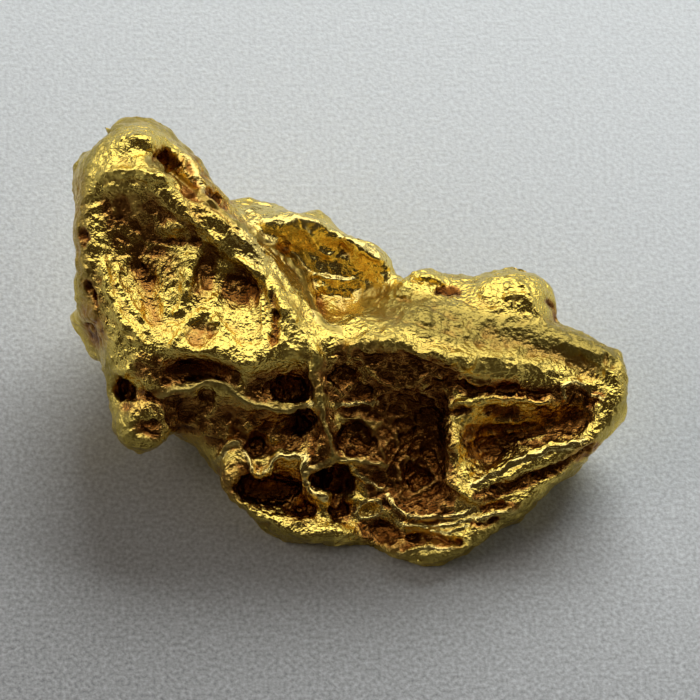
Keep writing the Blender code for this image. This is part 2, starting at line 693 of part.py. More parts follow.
def block_out():
    """The nugget's lobes, knobs and bars fused into one lump of clay."""
    meshes = [lobe(*shape) for _, *shape in LOBES]
    meshes += [ball(middle, sizes) for _, middle, sizes in KNOBS]
    for _, line in BARS:
        meshes += bar(line)
    clay = fused(meshes, CLAY)
    relax(clay, 6)
    return clay


def work_face(clay):
    points, normals = read_points(clay)
    draw_relief(points, normals, FACE, RELIEF_LINES, RELIEF_LEVELS, FACE_EDGE)
    write_points(clay, points)
    regrain(clay, FINE_CLAY)
    points, normals = read_points(clay)
    for _, line, half_width, height in RIDGES:
        raise_ridge(points, normals, line, half_width, height)
    for _, outline, depth, wall in HOLLOWS:
        press_hollow(points, normals, outline, depth, wall)
    write_points(clay, points)
    regrain(clay, FINE_CLAY)
    relax(clay, 1)


def lean_back(clay):
    clay.data.transform(Matrix.Rotation(LEAN, 4, "X"))
    clay.data.update()


def work_sides(clay):
    """Ridges and hollows of the hidden sides, each worked in the view that faces it."""
    points, normals = read_points(clay)
    for view, _, *stroke in SIDE_RIDGES:
        axes = np.array(VIEWS[view], float)
        seen = points @ axes.T
        raise_ridge(seen, normals @ axes.T, *stroke)
        points = seen @ axes
    for view, _, *stroke in SIDE_HOLLOWS:
        axes = np.array(VIEWS[view], float)
        seen = points @ axes.T
        press_hollow(seen, normals @ axes.T, *stroke)
        points = seen @ axes
    write_points(clay, points)
    regrain(clay, FINE_CLAY)


def lumps_and_cups(place):
    """Height of the worn hidden sides at a place: rounded lumps with shallow cups in them."""
    bent = Vector(place) + 0.35 * noise.noise_vector(Vector(place) * 0.9)
    lump = noise.voronoi(bent / LUMP_SIZE)[0][0]
    cup = noise.voronoi(bent / CUP_SIZE + Vector((7.3, 1.9, 4.1)))[0][0]
    return LUMP_HEIGHT * (0.45 - lump) * 2 + CUP_DEPTH * (min(cup, 0.7) - 0.4) * 2


def wear_sides(clay):
    """Lumps and cups over all that doesn't face the way the face does."""
    noise.seed_set(1)
    points, normals = read_points(clay)
    face_way = np.array([0, -math.sin(LEAN), math.cos(LEAN)])
    hidden = fade(0.5 - (normals @ face_way) / 0.4)
    for i in np.where(hidden > 0)[0]:
        points[i] += normals[i] * hidden[i] * lumps_and_cups(points[i])
    write_points(clay, points)
    regrain(clay, FINE_CLAY)
    relax(clay, 2)


def wear_feet(clay):
    """Cuts what lies under the ground plane and closes the cuts flat."""
    shape = bmesh.new()
    shape.from_mesh(clay.data)
    geometry = shape.verts[:] + shape.edges[:] + shape.faces[:]
    cut = bmesh.ops.bisect_plane(
        shape, geom=geometry, plane_co=(0, 0, GROUND), plane_no=(0, 0, -1), clear_outer=True
    )
    edges = [e for e in cut["geom_cut"] if isinstance(e, bmesh.types.BMEdge)]
    bmesh.ops.triangle_fill(shape, edges=edges, use_beauty=True, normal=(0, 0, -1))
    shape.to_mesh(clay.data)
    shape.free()


def thin_out(clay, triangles):
    thin = clay.modifiers.new("Decimate", "DECIMATE")
    thin.ratio = triangles / (2 * len(clay.data.polygons))
    apply_modifiers(clay)


def settle(clay):
    """Puts the middle of the box over the origin and the feet on the ground, and scales to metres."""
    points, _ = read_points(clay)
    low, high = points.min(axis=0), points.max(axis=0)
    shift = np.array(((low[0] + high[0]) / 2, (low[1] + high[1]) / 2, low[2]))
    scale = LENGTH / LENGTH_OF_DRAWING
    write_points(clay, (points - shift) * scale)
    clay["middle_of_face"] = list(-shift * scale)


def build_nugget():
    clear_scene()
    clay = block_out()
    work_face(clay)
    lean_back(clay)
    work_sides(clay)
    wear_sides(clay)
    thin_out(clay, TRIANGLES)
    wear_feet(clay)
    settle(clay)
    clay.data.materials.clear()
    clay.data.materials.append(gold())
    clay.data.shade_smooth()
    clay.name = "gold_nugget"
    return clay


build_nugget()
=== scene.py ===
"""The looks of a natural gold nugget: its worn, folded and crinkled skin, its metal, and a sheet of paper under it.

The skin starts as a copy of the solid. It is turned face up and worked like clay, in millimetres, with x along the
nugget, y across it and z out of its face. The strokes on the face are drawn on squared paper: a square is 0.025 mm,
x runs to the right and y down, and the middle of the face is at (350, 350). Widths and heights of strokes are in
squares too. Then the skin is put back where the solid is.
"""

import math

import bpy
import numpy as np
from bpy.props import FloatProperty, FloatVectorProperty, IntProperty, PointerProperty
from mathutils import Matrix, Vector, noise


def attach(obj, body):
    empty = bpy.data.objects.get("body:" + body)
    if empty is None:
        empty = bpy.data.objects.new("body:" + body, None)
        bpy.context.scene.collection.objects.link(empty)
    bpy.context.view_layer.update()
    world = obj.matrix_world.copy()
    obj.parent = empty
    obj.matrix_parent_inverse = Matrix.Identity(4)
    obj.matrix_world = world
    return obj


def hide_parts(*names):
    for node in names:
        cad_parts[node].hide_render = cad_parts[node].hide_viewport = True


bl_info = {
    "name": "Gold nugget looks",
    "version": (1, 0, 0),
    "blender": (4, 5, 0),
    "location": "3D View > Sidebar > Nugget",
    "description": "Works the skin and the metal of a gold nugget over its solid, and lays it on paper",
    "category": "Object",
}

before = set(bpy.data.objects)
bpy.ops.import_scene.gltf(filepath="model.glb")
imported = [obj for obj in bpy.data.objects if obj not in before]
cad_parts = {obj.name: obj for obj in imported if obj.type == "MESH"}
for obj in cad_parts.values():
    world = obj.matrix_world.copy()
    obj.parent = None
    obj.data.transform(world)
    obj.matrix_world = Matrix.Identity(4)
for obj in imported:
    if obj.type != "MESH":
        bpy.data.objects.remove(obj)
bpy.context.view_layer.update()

MM = 0.001
SQUARE = 0.025  # side of a square of the drawing, in mm
DRAWING_MIDDLE = 350.0  # where the middle of the face lies on the drawing, both ways
FACE_MIDDLE = Vector((0.0407, -1.0844, 3.45))  # the same place on the resting nugget, in mm
LEAN = math.radians(30)  # how far the face leans back from level
# The painted shade on the paper lifts in this direction.
SHADE_DIRECTION = (0.3, 0.95, 0)  # the way in which the paper under it gets lighter
THORN_PLACE = (110, 138)  # on the drawing
THORN_WAY = (-0.6, 0.8)
THORN_LENGTH = 0.2  # in mm
THORN_FOOT = 0.13  # how far from its tip the skin is drawn along, in mm
THORN_WIDTH = 0.05  # half the width of the skin in which its tip is looked for, in mm

# How far up a point of the turned skin has to look to take the drawing, and over what range it comes in.
FACE_START, FACE_RANGE = 0.05, 0.3
# Below which look up a point counts as hidden, and over what range it does.
HIDDEN_START, HIDDEN_RANGE = 0.35, 0.5

WANDER = ((22.0, 3.5), (8.0, 1.6), (4.0, 0.9))  # length of the strokes' bends and how far they go, in squares
UNEVEN_LENGTH, UNEVEN_SHARE = 14.0, 0.5  # how the strokes' height comes and goes, the length in squares
STROKE_END = 0.15  # share of a stroke's length over which it fades out
NORMAL_SHARE, OUT_SHARE = 0.7, 0.3  # how far strokes go along the skin's normals and straight out of the face

CLOSE_ROUNDS, WIDE_ROUNDS = 30, 300  # rounds of evening that show the pits and the large hollows
PIT_DEPTH, HOLLOW_DEPTH = 0.04, 0.3  # depths that count as fully pitted and fully sunk, in mm
# Stain and painted shade added in pits, in large hollows, and more in the large hollows of the hidden sides.
PIT_STAIN_AND_SHADE, HOLLOW_STAIN_AND_SHADE, HIDDEN_HOLLOW_STAIN_AND_SHADE = 0.25, 0.1, 0.25
CREST_STRENGTH = 0.9
# Crests and the places of painted light get this much less stain and crinkle.
CREST_CLEAN, CREST_EVEN = 0.8, 0.8  # how much less stain and crinkle the crests have

FOLDS_PER_METRE = 4500.0
GOLD_BEND, GOLD_GRAIN_SHARE = 0.4, 0.3
PAPER_BEND, PAPER_GRAIN_SHARE = 0.2, 0.9
# These are levels of the mark of stain and painted shade: the dark colour past the second one is partly stain and
# partly painted shade.
RUSTY_FULL, STAIN_AND_SHADE_START = 0.55, 0.45  # stain at which the metal is rusty, and at which it starts to be dark
ROUGHNESS_BELOW, ROUGHNESS_ABOVE = 0.05, 0.08  # how far the roughness goes to both sides, in blotches
DULL_ROUGHNESS = 0.16
CREST_FOLDS = 0.35  # share of the fine folds that is left on the crests
# The grain shows more in the painted shade in front than where the paper is lit.
SHADED_GRAIN, LIT_GRAIN = 2.6, 0.5  # contrast of the paper's grain
PAPER_ROUGHNESS, PAPER_GRAIN_STRENGTH, PAPER_GRAIN_HEIGHT = 0.9, 0.25, 0.00006
ROOM_COLOUR, ROOM_STRENGTH = (1, 0.74, 0.5, 1), 0.04
FILM_WIDTH = 36  # in mm

# Area lights: name, place, width, height, the size that holds its power, colour, and what it lights.
LIGHTS = [
    ("window", (0, 0.077, 0.105), 0.30, 0.15, "window_power", (1, 0.99, 0.97), "metal"),
    ("low window", (0.05, 0.16, 0.09), 0.16, 0.06, "low_window_power", (1, 0.99, 0.98), "paper"),
    ("left light", (-0.40, 0.03, 0.20), 0.3, 0.3, "left_power", (1, 1, 1), "metal"),
    ("warm glow", (-0.40, 0.03, 0.20), 0.3, 0.3, "glow_power", (1, 0.86, 0.76), "paper"),
    ("right light", (0.40, 0.05, 0.16), 0.3, 0.3, "right_power", (1, 1, 1), "metal and paper"),
]

# Ridges and grooves of the face: name, half-width, height (grooves are negative), line.
STROKES = [
    # crown
    ("long ridge", 15, 10,
     [(128, 148), (148, 172), (174, 200), (198, 222), (224, 243), (252, 266), (276, 292), (290, 318),
      (298, 338)]),
    ("outer edge fall", 13, -12,
     [(158, 164), (180, 182), (200, 196), (222, 210), (245, 228), (262, 243), (276, 255)]),
    ("outer edge", 4, 4,
     [(150, 160), (168, 172), (185, 183), (200, 196), (215, 208), (245, 228), (275, 250), (296, 268),
      (308, 290), (315, 312), (322, 322), (340, 330)]),
    ("edge groove", 4, -2,
     [(158, 170), (180, 186), (196, 200), (212, 214), (240, 234), (268, 254), (288, 272), (300, 292),
      (308, 314)]),
    ("behind the outer edge", 7, -6, [(240, 211), (258, 223), (285, 244), (306, 264), (318, 288), (325, 308)]),
    ("brow", 5, 3, [(98, 174), (112, 173), (128, 172), (146, 175), (160, 184), (180, 197), (196, 212)]),
    ("under the brow", 5, -3,
     [(100, 183), (115, 182), (132, 182), (148, 184), (160, 191), (176, 204), (192, 215)]),
    ("under the bump", 5, -4, [(165, 241), (182, 244), (202, 242)]),
    ("spur", 10, 5, [(197, 252), (195, 262), (189, 276), (184, 298)]),
    ("flank", 4, 3, [(236, 252), (250, 264), (260, 284), (264, 310), (264, 345)]),
    ("flank groove", 5, -6, [(274, 290), (277, 305), (277, 325), (273, 348)]),
    ("basin dip", 15, -5, [(140, 262), (148, 282), (152, 304), (160, 328)]),
    ("basin arch", 7, 4, [(172, 352), (180, 334), (192, 320), (206, 313), (220, 320), (232, 338), (240, 352)]),
    ("left crest", 9, 5, [(101, 256), (104, 272), (109, 288), (117, 306), (126, 322), (138, 336), (146, 346)]),
    ("left fold", 4, 3, [(116, 262), (121, 280), (130, 300), (142, 320), (154, 336)]),
    # cheek and left nub
    ("nub line", 3, 3, [(156, 402), (163, 413), (166, 427)]),
    ("nub gap", 4, -7, [(166, 443), (175, 441), (181, 446)]),
    ("thread", 2.5, 3, [(170, 428), (176, 436), (181, 443)]),
    ("step rim", 3.5, 5, [(178, 443), (195, 451), (205, 463), (214, 478)]),
    # step
    ("face lip", 4, 4.5,
     [(160, 396), (172, 390), (190, 388), (210, 383), (224, 386), (240, 396), (258, 404), (280, 410),
      (300, 408), (312, 404)]),
    ("heel tongue", 4, 7, [(217, 462), (223, 455), (230, 447), (240, 443)]),
    ("heel crest", 4, 7, [(243, 452), (248, 462), (256, 471), (268, 467), (278, 459), (290, 456), (308, 455)]),
    ("heel right rim", 5, 7, [(306, 455), (304, 470), (309, 485), (320, 497), (330, 503)]),
    ("heel band edge", 3, 3,
     [(222, 478), (229, 494), (244, 504), (262, 503), (276, 508), (288, 518), (302, 522), (318, 516)]),
    # webs between the lobes
    ("neck web", 7.5, 6, [(309, 342), (317, 357), (312, 372), (320, 388), (317, 402)]),
    ("low neck web", 3, 6, [(318, 402), (322, 416), (328, 434), (333, 448), (336, 458)]),
    ("hole rim left", 3.5, 6, [(336, 458), (326, 462), (312, 468), (306, 474)]),
    ("hole rim right", 2.5, 4.5, [(336, 458), (352, 459), (368, 462), (384, 464)]),
    ("hole rim low", 3, 4, [(352, 463), (360, 474), (372, 484), (386, 487)]),
    ("trough web", 3, 3.5, [(384, 464), (382, 450), (378, 438), (368, 424), (352, 418), (340, 414)]),
    ("trough web branch", 3, 3, [(365, 420), (380, 424), (392, 434), (398, 444)]),
    ("glint line", 3, 4, [(334, 404), (348, 402), (362, 403), (378, 402)]),
    ("cell line", 2.5, 3, [(322, 362), (336, 358), (350, 356), (364, 362), (374, 374), (382, 384)]),
    ("leaf", 2.5, 3.5,
     [(398, 462), (408, 460), (420, 463), (430, 472), (437, 481), (426, 488), (416, 496), (404, 498),
      (398, 486), (396, 474), (398, 462)]),
    ("ring", 3, 4, [(360, 503), (370, 500), (380, 505), (378, 515), (366, 518), (357, 512), (360, 503)]),
    ("trough foot", 4, 4, [(386, 494), (395, 506), (412, 514), (434, 518), (456, 516), (476, 508)]),
    ("foot streak", 2.5, 4, [(398, 522), (424, 526), (450, 524), (476, 516)]),
    ("low foot streak", 2.5, 4, [(410, 530), (440, 532), (466, 526)]),
    ("under line", 3, 5, [(398, 552), (414, 550), (432, 549), (450, 546)]),
    ("under line groove", 3, -4, [(402, 558), (422, 560), (442, 556)]),
    ("under streak", 5, -6, [(404, 538), (424, 536), (446, 538), (462, 543)]),
    # nose
    ("nose crest", 13, 9, [(340, 348), (362, 345), (388, 343), (410, 348), (432, 354), (456, 360), (480, 365)]),
    ("nose crest end", 8, 2, [(476, 354), (510, 360), (545, 366), (575, 374)]),
    ("trough shadow", 8, -7, [(440, 382), (480, 390), (520, 393), (558, 394)]),
    ("mouth lip", 8, 7, [(448, 408), (458, 402), (475, 400), (500, 397), (530, 398), (556, 401)]),
    ("mouth side", 8, 8, [(452, 412), (453, 430), (452, 452), (452, 474), (458, 486), (470, 496), (480, 500)]),
    ("mouth brow", 4, 3, [(468, 420), (480, 424), (500, 423), (520, 420), (545, 417)]),
    ("mouth fold", 3, 2.5, [(468, 440), (490, 434), (515, 430), (545, 424)]),
    ("mouth low fold", 3, 2.5, [(472, 456), (495, 448), (520, 442), (550, 434)]),
    ("sill", 5, 7, [(472, 484), (486, 478), (502, 470), (522, 460), (545, 450), (566, 446), (582, 441)]),
    ("sill groove", 5, -8, [(480, 494), (500, 486), (524, 478), (548, 468), (570, 457), (590, 444)]),
    ("sill band", 4, 3, [(480, 504), (500, 498), (524, 490), (545, 480), (570, 466)]),
    ("second groove", 3.5, -6, [(484, 506), (500, 505), (516, 502)]),
    ("glint fold", 3, 4, [(476, 518), (490, 515), (504, 512), (516, 508)]),
    ("third groove", 3.5, -6, [(472, 524), (486, 522), (498, 518)]),
    ("tip loop", 3, 4, [(566, 398), (563, 388), (570, 381), (582, 384), (592, 394), (602, 400)]),
    ("tip groove", 4, -5, [(572, 388), (582, 392), (588, 402), (600, 399)]),
    ("slope groove", 4, -3, [(400, 318), (430, 326), (460, 336), (490, 344)]),
    ("slope fold", 3, 2, [(395, 308), (420, 310), (450, 322), (480, 334)]),
    ("slope shadow", 3, -4, [(384, 299), (398, 299), (412, 300)]),
    # bowl behind the ridge
    ("bowl fold", 5, 5, [(300, 222), (312, 235), (322, 250), (335, 258)]),
    ("bowl right fold", 5, 5, [(340, 238), (356, 246), (372, 256), (380, 262)]),
    ("bowl line", 3, 4, [(306, 272), (325, 276), (345, 279), (360, 278)]),
    ("bowl rim", 5, 4,
     [(240, 210), (262, 207), (285, 210), (300, 218), (330, 226), (352, 238), (376, 250), (390, 262)]),
    # back nubs and flange
    ("small nub step", 4, -6, [(410, 280), (425, 279), (440, 284)]),
    ("nub crackle", 2.5, 3, [(503, 283), (510, 290), (512, 300), (508, 310)]),
    ("nub right crackle", 2.5, 3, [(518, 282), (527, 292), (533, 304)]),
    ("nub cross crackle", 2.5, 3, [(498, 298), (512, 294), (524, 296), (530, 308)]),
    ("back nub rim", 3, -5, [(545, 298), (552, 308), (556, 318)]),
    ("flange hole", 8, -16, [(158, 160), (166, 160), (176, 170)]),
    ("flange hole top", 7, -14, [(165, 150), (170, 158), (175, 168)]),
    ("flange groove", 4, -5, [(176, 170), (184, 180), (196, 192)]),
    ("flange crest", 4, 4, [(180, 150), (192, 166), (200, 182), (204, 192)]),
    ("flange line", 2.5, -4, [(196, 160), (202, 172)]),
    # left side
    ("wart gap", 4, -8, [(86, 284), (92, 294), (97, 303)]),
    ("wart line", 3, -5, [(85, 322), (94, 330), (100, 345)]),
]

# Pits and lumps of the face: name, middle, half-sizes across and down, height (pits are negative) and width of
# the wall.
SPOTS = [
    ("hollow bump", (174, 228), (11, 8), 5, 6),
    ("round hollow", (242, 289), (20, 16), -5, 9),
    ("hollow behind the spur", (207, 269), (13, 20), -6, 8),
    ("arch hollow", (200, 335), (13, 11), -5, 7),
    ("cheek pit", (125, 390), (11, 10), -15, 3),
    ("cheek bump", (126, 371), (8, 4), 3, 3),
    ("cheek bump", (150, 380), (5, 9), 4, 4),
    ("cheek bump", (157, 392), (6, 5), 3, 3),
    ("nub pit", (150, 428), (14, 9), -8, 4),
    ("nub glint", (147, 406), (8, 6), 3, 4),
    ("rim pit", (214, 482), (3, 6), -5, 2),
    ("groove hollow", (202, 371), (34, 9), -6, 6),
    ("groove pit", (292, 388), (16, 12), -9, 6),
    ("step pit", (207, 396), (8, 6), -7, 3),
    ("step pit", (302, 421), (10, 12), -10, 4),
    ("step pit", (258, 447), (12, 9), -8, 5),
    ("step lump", (216, 412), (10, 6), 3, 4),
    ("step lump", (246, 428), (8, 6), 3, 4),
    ("step lump", (220, 430), (12, 10), 3, 6),
    ("step lump", (262, 420), (7, 5), 2, 3),
    ("step lump", (280, 425), (8, 6), 2.5, 3),
    ("step lump", (275, 440), (6, 5), 2, 3),
    ("heel hollow", (262, 489), (32, 13), -9, 8),
    ("heel pit", (302, 510), (12, 8), -8, 5),
    ("band pit", (264, 527), (9, 4), -5, 3),
    ("toe lump", (334, 528), (8, 6), 4, 3),
    ("toe lump", (346, 532), (7, 5), 4, 3),
    ("slot", (341, 508), (9, 9), -12, 4),
    ("deep hole", (331, 480), (18, 14), -22, 3),
    ("cell", (342, 376), (16, 10), -7, 5),
    ("cell", (362, 392), (12, 7), -7, 4),
    ("cell", (352, 409), (15, 4), -5, 3),
    ("cell glint", (352, 362), (9, 5), 3, 3),
    ("big cell", (356, 440), (22, 15), -9, 6),
    ("big cell glint", (372, 428), (8, 6), 3, 3),
    ("leaf hollow", (416, 477), (14, 14), -6, 4),
    ("leaf glint", (412, 486), (8, 4), 3, 2),
    ("ring hollow", (368, 509), (6, 4), -5, 2),
    ("hollow under the foot", (382, 534), (17, 10), -7, 4),
    ("lip cell", (463, 410), (8, 4), -6, 2),
    ("lip cell", (502, 411), (13, 7), -7, 4),
    ("lip glint", (462, 418), (5, 3), 3, 2),
    ("tip pit", (606, 360), (4, 6), -5, 2),
    ("tip pit", (614, 366), (3, 5), -4, 2),
    ("tip glint", (612, 374), (4, 4), 2, 2),
    ("slope glint", (515, 352), (9, 4), 2, 3),
    ("slope glint", (545, 362), (9, 4), 2, 3),
    ("slope glint", (495, 358), (8, 4), 2, 3),
    ("bowl cup", (335, 232), (12, 8), -4, 5),
    ("bowl cup", (346, 250), (9, 9), -5, 4),
    ("bowl cup", (270, 232), (20, 12), -3, 8),
    ("bowl pit", (283, 249), (6, 4), -6, 3),
    ("bowl cup", (335, 305), (20, 16), -4, 8),
    ("small nub glint", (421, 274), (10, 4), 3, 3),
    ("small nub facet", (446, 291), (13, 5), -5, 2),
    ("flange glint", (206, 187), (5, 8), 4, 3),
    ("flange pit", (215, 198), (5, 6), -5, 2),
    ("wart pit", (84, 236), (5, 7), -6, 3),
    ("wart", (88, 312), (9, 9), 4, 4),
]

# Dark marks of the face, which are only colour: partly real stain, and partly painted shade and painted dark
# reflections where the face lies in shade or reflects dark surroundings: name, half-width, strength from 0 to 1,
# line.
STAINS_AND_PAINTED_SHADE = [
    ("crown hollow", 28, 0.42, [(120, 208), (140, 212), (165, 214), (186, 218)]),
    ("crown hollow foot", 28, 0.42, [(124, 228), (142, 244), (156, 266)]),
    ("under the bump", 7, 0.5, [(160, 242), (180, 243), (198, 243)]),
    ("hollow behind the spur", 13, 0.3, [(208, 256), (206, 272), (200, 290)]),
    ("round hollow", 20, 0.55, [(234, 286), (242, 289), (250, 291)]),
    ("basin dip", 16, 0.15, [(142, 262), (150, 290), (160, 325)]),
    ("flank groove", 7, 0.4, [(274, 296), (277, 320), (274, 345)]),
    ("arch hollow", 14, 0.2, [(196, 336), (206, 334)]),
    ("groove", 17, 0.8, [(146, 366), (175, 372), (200, 372), (230, 374)]),
    ("groove end", 22, 0.8, [(262, 388), (285, 386), (305, 386)]),
    ("cheek pit", 13, 1, [(121, 388), (129, 393)]),
    ("cheek", 16, 0.8, [(130, 402), (160, 398), (176, 404)]),
    ("nub pit", 12, 1, [(143, 426), (157, 431)]),
    ("step", 32, 0.75, [(182, 414), (215, 420), (245, 430), (285, 432)]),
    ("step pit", 14, 0.85, [(248, 446), (264, 447)]),
    ("step end pit", 15, 1, [(302, 414), (303, 430)]),
    ("heel hollow", 28, 0.85, [(238, 480), (262, 488), (288, 490), (300, 505)]),
    ("rim pit", 6, 1, [(214, 480), (214, 486)]),
    ("slot", 14, 1, [(336, 506), (346, 510)]),
    ("deep hole", 26, 1, [(325, 478), (340, 482)]),
    ("under the neck", 18, 0.9, [(322, 420), (324, 440), (318, 455)]),
    ("cells", 28, 0.8, [(338, 380), (352, 392), (365, 402)]),
    ("trough", 44, 1, [(392, 392), (405, 420), (410, 450), (395, 470)]),
    ("trough by the mouth", 24, 1, [(436, 505), (440, 480), (436, 440), (436, 405)]),
    ("big cell", 26, 0.8, [(348, 440), (366, 444)]),
    ("low trough", 24, 0.9, [(375, 475), (400, 500), (435, 505)]),
    ("hollow under the foot", 18, 1, [(368, 532), (385, 536), (400, 542)]),
    ("under streak", 7, 1, [(410, 540), (430, 542), (456, 543)]),
    ("crest shadow", 13, 1, [(430, 376), (470, 386), (510, 391), (555, 394), (588, 398)]),
    ("under the crest", 18, 0.6, [(345, 354), (380, 358), (420, 366), (450, 378)]),
    ("lip cell", 8, 1, [(458, 410), (468, 410)]),
    ("lip cell", 9, 1, [(492, 411), (512, 412)]),
    ("mouth", 26, 0.65, [(480, 442), (510, 434), (545, 426), (575, 414)]),
    ("sill groove", 10, 1, [(480, 497), (505, 488), (530, 478), (560, 463), (592, 446)]),
    ("second groove", 5, 1, [(484, 507), (500, 506), (516, 503)]),
    ("third groove", 5, 1, [(472, 525), (486, 523), (498, 519)]),
    ("tip groove", 8, 0.8, [(572, 388), (588, 398), (600, 399)]),
    ("bowl slit", 7, 0.4, [(338, 244), (350, 256)]),
    ("bowl pit", 7, 0.9, [(280, 249), (286, 250)]),
    ("flange hole", 12, 1, [(162, 156), (168, 160), (175, 168)]),
    ("flange flank", 9, 0.5, [(182, 174), (196, 190), (214, 198)]),
    ("small nub facet", 7, 0.7, [(438, 291), (455, 292)]),
    ("back nub rim", 5, 0.8, [(547, 300), (553, 310), (556, 318)]),
    ("wart pit", 9, 1, [(84, 233), (84, 240)]),
    ("wart gap", 7, 1, [(86, 284), (92, 294), (98, 303)]),
    ("warts", 14, 0.6, [(88, 315), (96, 335)]),
    ("left edge", 16, 0.3, [(76, 180), (80, 220), (84, 260), (100, 340)]),
    ("flange side", 14, 0.5, [(186, 160), (204, 186), (220, 204)]),
    ("long ridge back", 12, 0.25, [(190, 192), (230, 222), (265, 245), (300, 275), (318, 310)]),
]

# Places of the face given the paler crest colour as painted light, with less stain and crinkle: name, half-width,
# strength, line.
PAINTED_LIGHT = [
    ("bowl", 45, 0.7, [(268, 236), (300, 250), (330, 262), (362, 280)]),
]

# Dull, greyer places of the face, which are not polished: name, half-width, strength, line.
DULL = [
    ("back slope", 28, 1, [(380, 304), (420, 314), (460, 326), (500, 334), (550, 342), (600, 354)]),
    ("small nub foot", 12, 0.8, [(366, 296), (384, 292), (400, 298)]),
    ("outer edge", 4, 1,
     [(152, 162), (168, 172), (185, 183), (215, 208), (245, 228), (275, 250), (296, 268), (308, 290),
      (322, 322), (340, 330)]),
    ("left edge", 14, 0.8,
     [(100, 140), (84, 158), (77, 180), (77, 210), (78, 250), (84, 280), (90, 330), (104, 360), (106, 400)]),
    ("crown top", 9, 0.8, [(112, 128), (130, 120), (150, 118), (170, 130), (190, 150), (212, 178)]),
    ("nub", 20, 0.5, [(122, 418), (134, 438), (155, 446)]),
    ("heel rim", 10, 0.8, [(222, 478), (236, 505), (258, 524), (290, 536), (330, 540)]),
    ("face lip", 7, 0.8, [(160, 392), (190, 386), (210, 382), (240, 394), (258, 402), (280, 408), (300, 408)]),
    ("neck web", 9, 0.8, [(317, 362), (318, 388), (320, 410), (328, 434), (336, 458)]),
    ("foot rim", 10, 0.8, [(384, 540), (410, 552), (440, 556), (470, 545), (500, 522), (540, 500), (580, 470)]),
    ("nose edge", 9, 0.6, [(600, 346), (620, 366), (624, 390), (612, 420), (590, 450)]),
    ("nose crest", 12, 0.4, [(345, 346), (388, 343), (432, 354), (480, 362), (545, 368)]),
    ("trough web", 6, 0.8, [(384, 464), (382, 450), (378, 438), (368, 424), (352, 418), (340, 414)]),
    ("trough web branch", 6, 0.8, [(365, 420), (380, 424), (392, 434), (398, 444)]),
    ("leaf", 6, 0.8,
     [(398, 462), (408, 460), (420, 463), (437, 481), (426, 488), (404, 498), (398, 486), (398, 462)]),
    ("hole rims", 6, 0.6, [(306, 474), (326, 462), (336, 458), (352, 459), (384, 464)]),
]


class NuggetSizes(bpy.types.PropertyGroup):
    coarse_grain: FloatProperty(
        name="Coarse grain", description="Grain of the first skin", default=0.00008, unit="LENGTH",
        precision=6,
    )
    grain: FloatProperty(
        name="Grain", description="Grain of the worked skin", default=0.00004, unit="LENGTH", precision=6,
    )
    triangles: IntProperty(name="Triangles", description="Triangles of the finished skin", default=190000)
    relief: FloatProperty(
        name="Relief", description="How high strokes stand, against what they were drawn", default=1.0,
    )
    crinkle_size: FloatProperty(
        name="Crinkle size", description="Width of the small folds of the skin", default=0.00023,
        unit="LENGTH", precision=6,
    )
    crinkle_height: FloatProperty(
        name="Crinkle height", description="Height of the small folds of the skin", default=0.000034,
        unit="LENGTH", precision=6,
    )
    facet_height: FloatProperty(
        name="Facet height", description="Height of the borders between small facets", default=0.000035,
        unit="LENGTH", precision=6,
    )
    # The cells lie where stain and painted shade are drawn.
    cell_size: FloatProperty(
        name="Cell size", description="Width of the cells in the stained hollows of the face", default=0.00048,
        unit="LENGTH", precision=6,
    )
    cell_height: FloatProperty(
        name="Cell height", description="Height of the webs between those cells", default=0.00005,
        unit="LENGTH", precision=6,
    )
    web_size: FloatProperty(
        name="Web size", description="Width of the cells between the webs of the hidden sides", default=0.0017,
        unit="LENGTH", precision=6,
    )
    web_height: FloatProperty(
        name="Web height", description="Height of those webs", default=0.00012, unit="LENGTH", precision=6,
    )
    pit_size: FloatProperty(
        name="Pit size", description="Distance between the pits of the hidden sides", default=0.001,
        unit="LENGTH", precision=6,
    )
    pit_depth: FloatProperty(
        name="Pit depth", description="Depth of those pits", default=0.00016, unit="LENGTH", precision=6,
    )


class NuggetFinish(bpy.types.PropertyGroup):
    gold: FloatVectorProperty(
        name="Gold", description="Colour of the worn metal", subtype="COLOR", default=(0.88, 0.67, 0.15),
    )
    # The dark colour of stains, which also serves as painted shade and painted dark reflections.
    stained_and_shaded_gold: FloatVectorProperty(
        name="Stained gold", description="Colour of the metal where it is stained", subtype="COLOR",
        default=(0.13, 0.045, 0.008),
    )
    # The half-way colour of stains and of lighter painted shade.
    rusty_gold: FloatVectorProperty(
        name="Rusty gold", description="Colour of the metal where it is half stained", subtype="COLOR",
        default=(0.46, 0.22, 0.05),
    )
    dull_gold: FloatVectorProperty(
        name="Dull gold", description="Colour of the metal where it is not polished", subtype="COLOR",
        default=(0.42, 0.32, 0.075),
    )
    # The paler colour of rubbed crests, which also serves as painted light in the bowl.
    rubbed_and_painted_light_gold: FloatVectorProperty(
        name="Rubbed gold", description="Colour of the metal on its narrow crests", subtype="COLOR",
        default=(0.86, 0.69, 0.24),
    )
    roughness: FloatProperty(
        name="Roughness", description="Roughness of the worn metal", default=0.22, min=0, max=1,
    )
    fold_height: FloatProperty(
        name="Fold height", description="Depth of the finest folds", default=0.0002, unit="LENGTH",
        precision=6,
    )


